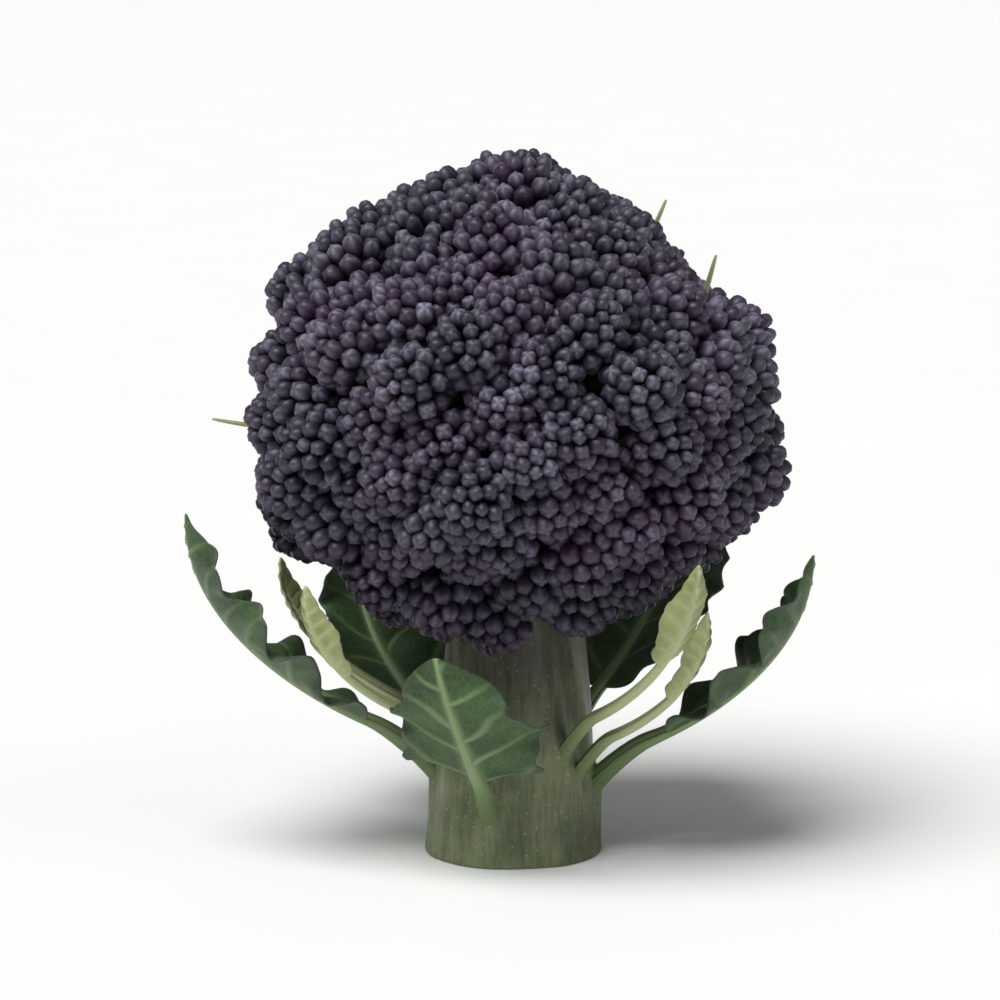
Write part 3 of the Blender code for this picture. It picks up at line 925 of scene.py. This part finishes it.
    def push_apart(self, places: np.ndarray, umbel: np.ndarray, width: np.ndarray,
                   ball: np.ndarray) -> tuple[np.ndarray, np.ndarray]:
        """Moves buds that stand too close apart, and back onto their own umbel's ball, many times.

        Args:
            places: The buds' middles.
            umbel: The umbel that each belongs to.
            width: Their widths.
            ball: How far from its umbel's middle each stands.

        Returns:
            The new middles, and which buds still crowd an earlier one.
        """
        square = (places**2).sum(axis=1)
        gap = square[:, None] + square[None] - 2 * places @ places.T
        first, second = np.nonzero(np.triu(gap < self.pair_reach**2, 1))
        need = self.packing * (width[first] + width[second]) / 2
        for _ in range(self.rounds):
            between = places[first] - places[second]
            apart = np.linalg.norm(between, axis=1)
            push = between / apart[:, None] * (np.maximum(need - apart, 0) * self.push)[:, None]
            np.add.at(places, first, push)
            np.add.at(places, second, -push)
            places = self.centres[umbel] + unit(places - self.centres[umbel]) * ball[:, None]
        apart = np.linalg.norm(places[first] - places[second], axis=1)
        near = np.zeros(len(places), bool)
        near[second[apart < self.crowded * need]] = True
        return places, near

    def template(self) -> tuple[np.ndarray, dict[str, np.ndarray], np.ndarray, np.ndarray]:
        """One bud, 1 wide and 1 long, with its middle at the origin and its tip up.

        Its outline swells quickly from the foot, is fullest past the middle and ends blunt. Four
        sepals close over it, so the radius rises on four ridges and falls in four seams between.

        Returns:
            Points, attribute values, four-sided faces and triangles.
        """
        height = np.array([0.03, 0.15, 0.36, 0.60, 0.80, 0.93])
        radius = np.array([0.20, 0.37, 0.49, 0.50, 0.40, 0.21])
        lobe = np.array([0.0, 0.01, 0.015, 0.03, 0.07, 0.13])
        turn = np.arange(self.sides) * 2 * math.pi / self.sides
        ridge = (1 + np.cos(4 * turn)) / 2
        ring = radius[:, None] * (1 + lobe[:, None] * (2 * ridge - 1))
        level = np.broadcast_to(height[:, None], ring.shape) + 0.015 * ridge * (height[:, None] > 0.7)
        walls = np.stack([ring * np.cos(turn), ring * np.sin(turn), level - 0.5], axis=-1)
        poles = np.array([[0, 0, -0.5], [0, 0, 0.465]])
        points = np.concatenate([walls.reshape(-1, 3), poles])
        values = {
            "along": np.concatenate([level.ravel(), [0, 1]]),
            "ridge": np.concatenate([np.tile(ridge, len(height)), [0, 0.25]]),
        }
        quads, fans = ring_faces(len(height), self.sides)
        return points, values, quads, fans

    def build(self) -> None:
        """Makes one piece of buds for each crown."""
        shape, values, quads, fans = self.template()
        side = unit(np.cross(self.ahead, UP + [0.013, 0.021, 0]))
        other = np.cross(self.ahead, side)
        cos, sin = np.cos(self.roll)[:, None], np.sin(self.roll)[:, None]
        x_axis, y_axis = side * cos + other * sin, other * cos - side * sin
        for crown in range(self.plan.crowns):
            own = self.plan.owner[self.umbel] == crown
            size = np.stack([self.width[own], self.width[own], self.length[own]], axis=1)
            scaled = shape[None] * size[:, None]
            axes = np.stack([x_axis[own], y_axis[own], self.ahead[own]], axis=1)
            points = scaled @ axes + (self.places[own] + self.plan.axis)[:, None]
            count = own.sum()
            buds = Surface(
                points.reshape(-1, 3),
                copies_of(quads, count, len(shape)),
                copies_of(fans, count, len(shape)),
                {
                    "along": np.tile(values["along"], count),
                    "ridge": np.tile(values["ridge"], count),
                    "tone": np.repeat(self.tone[own], len(shape)),
                },
            )
            make_piece(f"buds_{crown:02d}", buds, [self.material], [f"crown_{crown:02d}"])


# ---- stems ---------------------------------------------------------------------------------------


@dataclass
class Sprigs:
    """The branch under each crown, its forks to the umbels, and the stem of every bud."""

    plan: HeadPlan
    buds: Buds
    material: bpy.types.Material
    branch_mesh: tuple[int, int] = (22, 18)  # rings, and points round each
    fork_mesh: tuple[int, int] = (12, 9)
    bud_stem_mesh: tuple[int, int] = (4, 5)
    waist: float = 0.85
    collar: float = 0.35  # how much wider a branch is where it leaves the stalk
    collar_length: float = 3.5 * MM
    buried: float = 2 * MM  # how deep in the stalk a branch starts
    fork_radius: float = 1.75 * MM
    fork_tip_radius: float = 1.15 * MM
    fork_overlap: float = 4 * MM  # how far below a branch's end its forks start
    knob: float = 0.55 * MM  # how much thicker a fork's end is
    bud_stem_radius: float = 0.55 * MM

    def branches(self) -> list[Surface]:
        """Each branch as a smooth tube that flares where it leaves the stalk and under its crown.

        Returns:
            One surface for each branch.
        """
        rings, sides = self.branch_mesh
        path, ahead = self.plan.branch_curves(rings)
        share = np.linspace(0, 1, rings)
        shape = 1 - (1 - self.waist) * np.sin(math.pi * share**0.8) ** 2
        foot = self.plan.stalk_radius(path[:, :, 2])
        out = np.hypot(path[:, :, 0], path[:, :, 1]) - foot
        flare = 1 + self.collar * np.exp(-np.clip(out, 0, None) / self.collar_length)
        radii = self.plan.branch_radii[:, None] * shape[None] * flare
        made = []
        for i in range(self.plan.crowns - 1):
            first = max(int((out[i] < -self.buried).sum()) - 1, 0)
            one = tubes(path[i : i + 1, first:], ahead[i : i + 1, first:], radii[i : i + 1, first:], sides)
            one.values["tinge"] = 0.45 * smooth_step(0.2, 1.0, one.values.pop("along"))
            made.append(one)
        return made

    def forks(self, crown: int) -> Surface:
        """The stems from a branch's end to the root of each umbel, which end in a small knob.

        Args:
            crown: The crown's number.

        Returns:
            One surface for them all.
        """
        plan, (rings, sides) = self.plan, self.fork_mesh
        own = np.nonzero(plan.owner == crown)[0]
        end = self.buds.roots[own]
        tip = plan.cores[crown] - plan.facing[crown] * (plan.underside + plan.clearance)
        towards = end - tip
        sideways = towards - (towards @ plan.facing[crown])[:, None] * plan.facing[crown]
        lean = sideways / np.maximum(np.linalg.norm(sideways, axis=1, keepdims=True), 1 * MM)
        thick = plan.branch_radii[crown - 1] if crown else plan.tip_radius
        start = tip - plan.facing[crown] * self.fork_overlap + lean * thick * 0.35
        length = np.linalg.norm(end - start, axis=1, keepdims=True)
        leave = start + unit(plan.facing[crown] + 0.5 * lean) * length * 0.4
        arrive = end - self.buds.tilt[own] * length * 0.3
        path, ahead = curves(start, leave, arrive, end, rings)
        share = np.linspace(0, 1, rings)
        radius = self.fork_radius + (self.fork_tip_radius - self.fork_radius) * smooth_step(0, 0.8, share)
        radius = radius + self.knob * smooth_step(0.8, 1, share)
        made = tubes(path, ahead, np.tile(radius, (len(own), 1)), sides)
        made.values["tinge"] = 0.45 + 0.35 * made.values.pop("along")
        return made

    def bud_stems(self, crown: int) -> Surface:
        """The thin stem of every bud, from its umbel's root up to the bud's foot.

        Args:
            crown: The crown's number.

        Returns:
            One surface for them all.
        """
        rings, sides = self.bud_stem_mesh
        own = self.plan.owner[self.buds.umbel] == crown
        umbel = self.buds.umbel[own]
        ahead = self.buds.ahead[own]
        end = self.buds.places[own] - ahead * self.buds.length[own][:, None] * 0.42
        start = self.buds.roots[umbel] + 0.3 * ahead * self.fork_tip_radius
        length = np.linalg.norm(end - start, axis=1, keepdims=True)
        leave = start + self.buds.tilt[umbel] * length * 0.35
        path, direction = curves(start, leave, end - ahead * length * 0.3, end, rings)
        radii = np.tile(self.bud_stem_radius * np.array([1.1, 1.0, 1.0, 1.35]), (len(end), 1))
        made = tubes(path, direction, radii, sides)
        made.values["tinge"] = 0.7 + 0.3 * made.values.pop("along")
        return made

    def build(self) -> None:
        """Makes one piece of stems for each crown."""
        branches = self.branches()
        for crown in range(self.plan.crowns):
            parts = [self.forks(crown), self.bud_stems(crown)]
            if crown:
                parts.append(branches[crown - 1])
            whole = joined(parts)
            whole.points = whole.points + self.plan.axis
            replaces = [f"branch_{crown:02d}"] if crown else []
            make_piece(f"sprig_{crown:02d}", whole, [self.material], replaces)


# ---- leaves --------------------------------------------------------------------------------------


@dataclass
class Leaf:
    """A leaf that grows from the stalk: its place, its size and the character of its blade."""

    name: str
    node: str
    azimuth: float  # degrees from +X towards +Y
    foot_height: float
    tip_height: float
    flare: float  # how far the tip stands out
    width: float
    blade_start: float  # share of its length that is bare
    slot: Slot = Slot.LEAF
    foot_width: float = 4.5 * MM
    cup: float = 0.16
    ruffle: float = 2.4 * MM  # how far the edge waves in and out
    ruffle_length: float = 15 * MM
    ripple_length: float = 7 * MM  # of the finer waves on it
    quilt: float = 0.6 * MM  # how far the blade bulges between its veins
    lobe_depth: float = 0.10  # share of the half width
    lobe_length: float = 12.5 * MM
    tooth_depth: float = 0.035  # share of the half width
    tooth_length: float = 4.6 * MM
    vein_spacing: float = 8.5 * MM
    vein_half: float = 0.45 * MM
    vein_height: float = 0.35 * MM
    rib_halves: tuple[float, float, float] = (2.2 * MM, 1.5 * MM, 0.35 * MM)  # foot, blade's start, tip
    thickness: float = 0.55 * MM
    to_buds: float = 5 * MM
    run_in: float = 0.16  # share of its length that bends down into the stalk
    run_down: float = 8 * MM  # how far it does
    off_stalk: float = 1.3 * MM  # how far outside the stalk it would start if it did not
    mesh: tuple[int, int] = (131, 45)  # points up it and across it
    seed: int = 1

    def line(self, plan: HeadPlan, s: np.ndarray) -> tuple[np.ndarray, np.ndarray]:
        """Radius and height of its middle line: it spreads, then turns up, clear of the buds.

        Args:
            plan: The head that it grows on.
            s: 0 at its foot to 1 at its tip.

        Returns:
            Radius from the head's axis, and height.
        """
        height = self.foot_height + (self.tip_height - self.foot_height) * s**1.35
        foot = plan.stalk_radius(self.foot_height) + self.off_stalk
        tip = plan.surface_radius(np.array(self.tip_height)) + self.to_buds + self.flare
        swing = foot + (tip - foot) * np.sin(math.pi / 2 * s)
        kept_out = plan.surface_radius(height) + self.to_buds + self.flare * s
        radius = np.maximum(swing, np.where(height > plan.stub_height, kept_out, 0))
        # The foot runs down into the stalk in place of meeting it square on
        bent = np.clip(1 - s / self.run_in, 0, 1) ** 2
        depth = self.off_stalk + 0.55 * self.foot_width
        return soften(radius, 6) - depth * bent, height - self.run_down * bent

    def surfaces(self, plan: HeadPlan) -> list[Surface]:
        """The blade with its ruffled and toothed edge and raised veins, and its tapering midrib.

        Args:
            plan: The head that it grows on.

        Returns:
            The blade and the midrib, both closed.
        """
        rng = np.random.default_rng(self.seed)
        rows, columns = self.mesh
        s, across = np.linspace(0, 1, rows), np.linspace(-1, 1, columns)
        radius, height = self.line(plan, s)
        outward, sideways = compass(self.azimuth)
        drift = self.width * 0.10 * np.sin(math.pi * s + rng.uniform(0, 1)) * s * rng.choice([-1, 1])
        middle = radius[:, None] * outward + height[:, None] * UP + drift[:, None] * sideways
        ahead = unit(np.gradient(middle, axis=0))
        face = np.cross(sideways, ahead)
        length = np.linalg.norm(np.diff(middle, axis=0), axis=1).sum()

        blade = np.clip((s - self.blade_start) / (1 - self.blade_start), 0, 1)
        oval = np.sin(math.pi * blade**0.8) ** 0.7
        petiole = np.interp(s, [0, self.blade_start, 1], np.array([1, 0.6, 0.12]) * self.foot_width)
        half = np.maximum(self.width * oval, petiole)[:, None] / 2
        # Lobes along each edge, and teeth on them, which fade out inwards
        side_phase = np.where(across < 0, rng.uniform(0, 6), rng.uniform(0, 6))
        wander_in = 0.5 * np.sin(s[:, None] * 9 + 2 * side_phase)
        lobes = np.sin(2 * math.pi * s[:, None] * length / self.lobe_length + side_phase + wander_in)
        teeth = 1 - 2 * np.abs(np.sin(math.pi * s[:, None] * length / self.tooth_length + 2 * side_phase))
        cut_in = (self.lobe_depth * lobes + self.tooth_depth * teeth) * np.abs(across) ** 1.5
        x = across[None] * half * (1 + cut_in * smooth_step(0.2, 0.85, oval)[:, None])

        # Veins leave the midrib in turn at each side and run out and up towards the edge
        slant = s[:, None] * length - np.abs(x) * 0.75 - (np.abs(x) ** 2) * 12
        wander = 0.12 * np.sin(s[:, None] * 23 + side_phase)
        order = slant / self.vein_spacing + np.where(across < 0, 0.5, 0.0) + wander
        off_vein = np.abs(order - np.round(order)) * self.vein_spacing * 0.8
        fade = (1 - 0.75 * np.abs(across)) * smooth_step(0, 0.3, oval)[:, None]
        side_vein = np.exp(-((off_vein / self.vein_half) ** 2)) * fade
        rib_half = np.interp(s, [0, self.blade_start, 1], self.rib_halves)[:, None]
        midrib = np.exp(-((np.abs(x) / rib_half) ** 2))
        vein = np.clip(np.maximum(midrib, 0.85 * side_vein), 0, 1)

        outer = smooth_step(0.08, 0.5, np.abs(across) * oval[:, None])
        quilt = self.quilt * np.abs(np.sin(math.pi * order)) * outer
        wave = np.sin(2 * math.pi * s[:, None] * length / self.ruffle_length + side_phase)
        wave = wave + 0.2 * np.sin(2 * math.pi * s[:, None] * length / self.ripple_length + 3 * side_phase)
        ruffle = self.ruffle * wave * np.abs(across) ** 2.4 * oval[:, None]
        cupped = 2 * half * self.cup * across**2
        lift = self.vein_height * side_vein - quilt + ruffle
        grid = (middle[:, None] + x[..., None] * sideways - cupped[..., None] * outward
                + lift[..., None] * face[:, None])
        rim = smooth_step(0.8, 1.0, np.abs(across))[None] * np.ones((rows, 1))
        thick = self.thickness / 2 * (1 - 0.45 * np.abs(across) ** 3)[None] * np.ones((rows, 1))
        near_foot = smooth_step(0.3, 0.02, s)[:, None] * np.ones((1, columns))
        sheet = slab(grid, thick, {"vein": vein, "rim": rim, "foot": near_foot})

        # The midrib runs on down into the stalk, where it broadens into the leaf's foot
        foot = middle[0] - outward * 0.8 * MM - UP * 3 * MM
        path = np.concatenate([[foot], middle[::3]])
        rib = np.interp(np.linspace(0, 1, len(path)), [0, 0.08, self.blade_start, 1],
                        np.array([0.52, 0.40, 0.28, 0.05]) * self.foot_width)
        tube = tubes(path[None], unit(np.gradient(path, axis=0))[None], rib[None], 12)
        along = tube.values.pop("along")
        tube.values = {"vein": 0.95 - 0.1 * along, "rim": np.zeros_like(along),
                       "foot": smooth_step(0.3, 0.02, along)}
        return [sheet, tube]

    def build(self, plan: HeadPlan, material: bpy.types.Material) -> None:
        """Makes the leaf's piece.

        Args:
            plan: The head that it grows on.
            material: Its finish.
        """
        whole = joined(self.surfaces(plan))
        whole.points = whole.points + plan.axis
        make_piece(self.name, whole, [material], [self.node])


LEAVES = [
    Leaf("blade_left", "leaf_left", 192, 21 * MM, 62 * MM, 8 * MM, 29 * MM, 0.18, seed=3),
    Leaf("blade_front", "leaf_front", 253, 14 * MM, 41 * MM, 9 * MM, 26 * MM, 0.20, seed=4),
    Leaf("blade_right", "leaf_right", 350, 18 * MM, 54 * MM, 8 * MM, 27 * MM, 0.22, seed=5),
    Leaf("blade_back_right", "leaf_back_right", 52, 21 * MM, 67 * MM, 6 * MM, 31 * MM, 0.18, seed=6),
    Leaf("blade_back_left", "leaf_back_left", 124, 16 * MM, 52 * MM, 11 * MM, 24 * MM, 0.24, seed=7),
]


def small_leaf(place: str, azimuth: float, foot: float, tip: float, flare: float, width: float,
               blade_start: float, seed: int) -> Leaf:
    """A bract: a small narrow leaf with a smooth edge and fine veins.

    Args:
        place: The part of its name that says where it grows.
        azimuth: Degrees from +X towards +Y.
        foot: Height where it leaves the stalk, in millimetres.
        tip: Height of its tip, in millimetres.
        flare: How far its tip stands out, in millimetres.
        width: Width of its blade, in millimetres.
        blade_start: Share of its length that is bare.
        seed: Seed of its own shape.

    Returns:
        The leaf.
    """
    return Leaf(f"small_leaf_{place}", f"bract_{place}", azimuth, foot * MM, tip * MM, flare * MM,
                width * MM, blade_start, Slot.BRACT, foot_width=2.9 * MM, ruffle=0.45 * MM, quilt=0.15 * MM,
                lobe_depth=0.07, tooth_depth=0.02, vein_spacing=3.6 * MM, seed=seed)


BRACTS = [
    small_leaf("front_right", 309, 25, 57, 1, 9, 0.55, 21),
    small_leaf("right", 323, 21, 47, 4, 8, 0.50, 22),
    small_leaf("front_left", 218, 25, 52, 2, 9, 0.50, 23),
    small_leaf("back", 88, 26, 56, 3, 9, 0.50, 24),
    small_leaf("left", 159, 24, 50, 4, 8, 0.50, 25),
]


@dataclass
class BractTips:
    """Tips of tiny bracts that stick out between the buds, as (height, azimuth, rise, length, width)."""

    plan: HeadPlan
    material: bpy.types.Material
    tips: tuple[tuple[float, float, float, float, float], ...] = (
        (112, -6, 62, 3.6, 2.4),
        (103, -14, 70, 3.4, 2.1),
        (76, 184, 3, 5.6, 1.7),
    )
    buried: float = 6 * MM  # how deep each one starts under the bud surface
    bend: float = 9.0  # how far it bends up, per metre of the square of its length
    fold: float = 0.35  # how steeply its halves rise from its middle
    vein_half: float = 0.25 * MM
    half_thickness: float = 0.18 * MM
    mesh: tuple[int, int] = (22, 9)

    def tip(self, height: float, azimuth: float, rise: float, length: float, width: float) -> Surface:
        """One narrow pointed leaf, folded along its middle, that bends up a little towards its end.

        Args:
            height: Height where it comes through the buds, in millimetres.
            azimuth: Degrees from +X towards +Y.
            rise: How steeply it points up, in degrees.
            length: How much of it shows, in millimetres.
            width: Its width, in millimetres.

        Returns:
            Its closed surface.
        """
        rows, columns = self.mesh
        s, across = np.linspace(0, 1, rows)[:, None], np.linspace(-1, 1, columns)[None]
        outward, sideways = compass(azimuth)
        angle = math.radians(rise)
        ahead = outward * math.cos(angle) + UP * math.sin(angle)
        face = np.cross(sideways, ahead)
        at = outward * self.plan.surface_radius(np.array(height * MM)) + UP * height * MM
        run = s * (self.buried + length * MM)
        middle = at + ahead * (run - self.buried)[..., None] - face * (run**2 * self.bend)[..., None]
        half = width * MM / 2 * np.sin(math.pi * np.clip(s, 0, 1) ** 0.75) ** 0.7 + 0.15 * MM
        fold = self.fold * np.abs(across) * half
        grid = middle + (across * half)[..., None] * sideways - fold[..., None] * face
        vein = np.exp(-((across * half / self.vein_half) ** 2))
        thick = np.full((rows, columns), self.half_thickness)
        tinge = np.broadcast_to(s**4, vein.shape).copy()
        return slab(grid, thick, {"vein": vein, "rim": tinge, "foot": np.zeros_like(vein)})

    def build(self) -> None:
        """Makes the tips as one piece."""
        whole = joined([self.tip(*numbers) for numbers in self.tips])
        whole.points = whole.points + self.plan.axis
        make_piece("bract_tips", whole, [self.material], [])


# ---- stalk ---------------------------------------------------------------------------------------


@dataclass
class Stalk:
    """The central stalk, with soft ribs that run down from every leaf, and a knife-cut face."""

    plan: HeadPlan
    skin: bpy.types.Material
    cut: bpy.types.Material
    sides: int = 128
    levels: int = 170
    bevel: float = 0.4 * MM  # where the knife's cut meets the skin
    dome: float = 1 * MM  # height of its rounded tip
    rib: float = 0.5 * MM  # depth of the broad ribs
    twist: float = 0.35  # how far the ribs swing round it, in radians
    twist_length: float = 28 * MM
    fine_twist_length: float = 9 * MM
    swelling: float = 1.3 * MM  # under the foot of a leaf
    swell_top: float = 5 * MM  # how far below that foot it is greatest
    swell_down: float = 11 * MM  # how far it reaches down
    swell_up: float = 3 * MM
    swell_widening: float = 30 * MM

    def build(self) -> None:
        """Makes the stalk's piece: rings of varying radius, a domed top and a flat cut face."""
        plan = self.plan
        rounding = [0, self.bevel / 8, self.bevel * 3 / 8, self.bevel]
        height = np.linspace(self.bevel + 0.3 * MM, plan.tip_height, self.levels)
        height = np.concatenate([rounding, height])
        turn = np.arange(self.sides) * 2 * math.pi / self.sides
        h, angle = np.meshgrid(height, turn, indexing="ij")
        radius = plan.stalk_radius(h)
        twist = angle + self.twist * np.sin(h / self.twist_length)
        ribs = np.sin(5 * twist) + 0.5 * np.sin(11 * twist + h / self.fine_twist_length)
        radius = radius + self.rib * ribs * (0.35 + 0.65 * smooth_step(0, 15 * MM, h))
        for leaf in LEAVES + BRACTS:
            around = (angle - math.radians(leaf.azimuth) + math.pi) % (2 * math.pi) - math.pi
            below = np.clip(leaf.foot_height - self.swell_top - h, 0, None)
            above = np.clip(h - leaf.foot_height + self.swell_top, 0, None)
            reach = np.exp(-below / self.swell_down) * np.exp(-((above / self.swell_up) ** 2))
            spread = leaf.foot_width / (2 * plan.neck_radius) * (1.15 + below / self.swell_widening)
            size = self.swelling * leaf.foot_width / Leaf.foot_width
            radius = radius + size * reach * np.exp(-((around / spread) ** 2))
        inset = self.bevel * (1 - np.sqrt(np.clip(1 - (1 - np.clip(h / self.bevel, 0, 1)) ** 2, 0, 1)))
        radius = radius - inset
        walls = np.stack([radius * np.cos(angle), radius * np.sin(angle), h], axis=-1).reshape(-1, 3)
        poles = np.array([[0, 0, 0], [0, 0, plan.tip_height + self.dome]])
        points = np.concatenate([walls, poles]) + plan.axis
        quads, fans = ring_faces(len(height), self.sides)
        high = smooth_step(5 * MM, 60 * MM, np.concatenate([h.ravel(), [0, plan.tip_height]]))
        values = {"tinge": 0.2 + 0.55 * high}
        whole = Surface(points, quads, fans, values)
        piece = make_piece("stalk_body", whole, [self.skin, self.cut], ["stalk"])
        wears = np.zeros(len(quads) + len(fans), np.int32)
        wears[len(quads) : len(quads) + self.sides] = 1  # the fan that closes the bottom is the cut
        piece.data.polygons.foreach_set("material_index", wears)


# ---- studio --------------------------------------------------------------------------------------


@dataclass
class Studio:
    """A pale floor, one wide soft light above and to the left, a weak fill and the camera."""

    paper: bpy.types.Material
    floor_size: float = 80.0
    suns: tuple[tuple[str, tuple[float, float, float], float, float], ...] = (
        ("key", (-0.30, -0.42, 0.90), 3.05, 40),
        ("fill", (0.7, -0.6, 0.5), 0.25, 70),
    )
    sky: str = "f2f3f5"
    sky_strength: float = 0.2
    backdrop: str = "f9f9f8"  # what the camera sees of the sky
    lens: float = 135.0
    distance: float = 0.66
    elevation: float = math.radians(8)

    def floor(self) -> None:
        """A floor of paper just under the cut face."""
        half = self.floor_size / 2
        corners = np.array([[-half, -half, 0], [half, -half, 0], [half, half, 0], [-half, half, 0]])
        mesh = make_mesh("floor", Surface(corners, np.array([[0, 1, 2, 3]]), np.zeros((0, 3), int)))
        mesh.materials.append(self.paper)
        paper = bpy.data.objects.new("floor", mesh)
        bpy.context.scene.collection.objects.link(paper)

    def sun(self, name: str, away: tuple[float, float, float], power: float, softness: float) -> None:
        """Adds a light that falls evenly over the floor, however far away.

        Args:
            name: The light's name.
            away: The direction that it comes from.
            power: Its strength in watts per square metre.
            softness: How wide it looks in the sky, in degrees.
        """
        lamp = bpy.data.lights.new(name, "SUN")
        lamp.energy = power
        lamp.angle = math.radians(softness)
        held = bpy.data.objects.new(name, lamp)
        held.rotation_euler = Vector(away).to_track_quat("Z", "Y").to_euler()
        bpy.context.scene.collection.objects.link(held)

    def build(self) -> None:
        """Lays the floor, hangs the lights and sets up the camera."""
        scene = bpy.context.scene
        self.floor()
        aim = (CAD_LOW + CAD_HIGH) / 2
        for name, away, power, softness in self.suns:
            self.sun(name, away, power, softness)
        world = bpy.data.worlds.new("studio")
        world.use_nodes = True
        tree, soft = world.node_tree, world.node_tree.nodes["Background"]
        soft.inputs["Color"].default_value = linear(self.sky)
        soft.inputs["Strength"].default_value = self.sky_strength
        # Lit softly, but seen as white as the floor where a low view shows it past the floor's end
        seen = add_node(tree, "Background", {"Color": linear(self.backdrop)})
        ray = add_node(tree, "LightPath")
        sky = add_node(tree, "MixShader", {},
                       {0: ray.outputs["Is Camera Ray"], 1: soft.outputs[0], 2: seen.outputs[0]})
        tree.links.new(sky.outputs[0], tree.nodes["World Output"].inputs["Surface"])
        scene.world = world
        scene.view_settings.view_transform = "Standard"

        camera = bpy.data.cameras.new("camera")
        camera.lens = self.lens
        camera.clip_start = 0.01
        eye = bpy.data.objects.new("camera", camera)
        away = Vector((0, -math.cos(self.elevation), math.sin(self.elevation)))
        eye.location = aim + away * self.distance
        eye.rotation_euler = (-away).to_track_quat("-Z", "Y").to_euler()
        scene.collection.objects.link(eye)
        scene.camera = eye


def main() -> None:
    """Builds the head piece by piece, then the studio."""
    logging.basicConfig(level=logging.INFO, format="%(message)s")
    plan = HeadPlan()
    plan.report_fit()
    stem_skin = StemSkin().material()
    Stalk(plan, stem_skin, CutPith(middle=(plan.axis[0], plan.axis[1])).material()).build()
    buds = Buds(plan, BudBloom().material())
    buds.place()
    buds.build()
    Sprigs(plan, buds, stem_skin).build()
    leaf_skin = LeafSkin().material()
    for leaf in LEAVES:
        leaf.build(plan, leaf_skin)
    bract_skin = LeafSkin(title="pale_bract_blade", deep="7e8b52", fresh="97a167", vein="b4bb8e",
                          edge="8f7f78", edge_share=0.3, cloud_mm=5, net_mm=1.6).material()
    for bract in BRACTS:
        bract.build(plan, bract_skin)
    BractTips(plan, bract_skin).build()
    Studio(FloorPaper().material()).build()


if __name__ == "__main__":
    main()
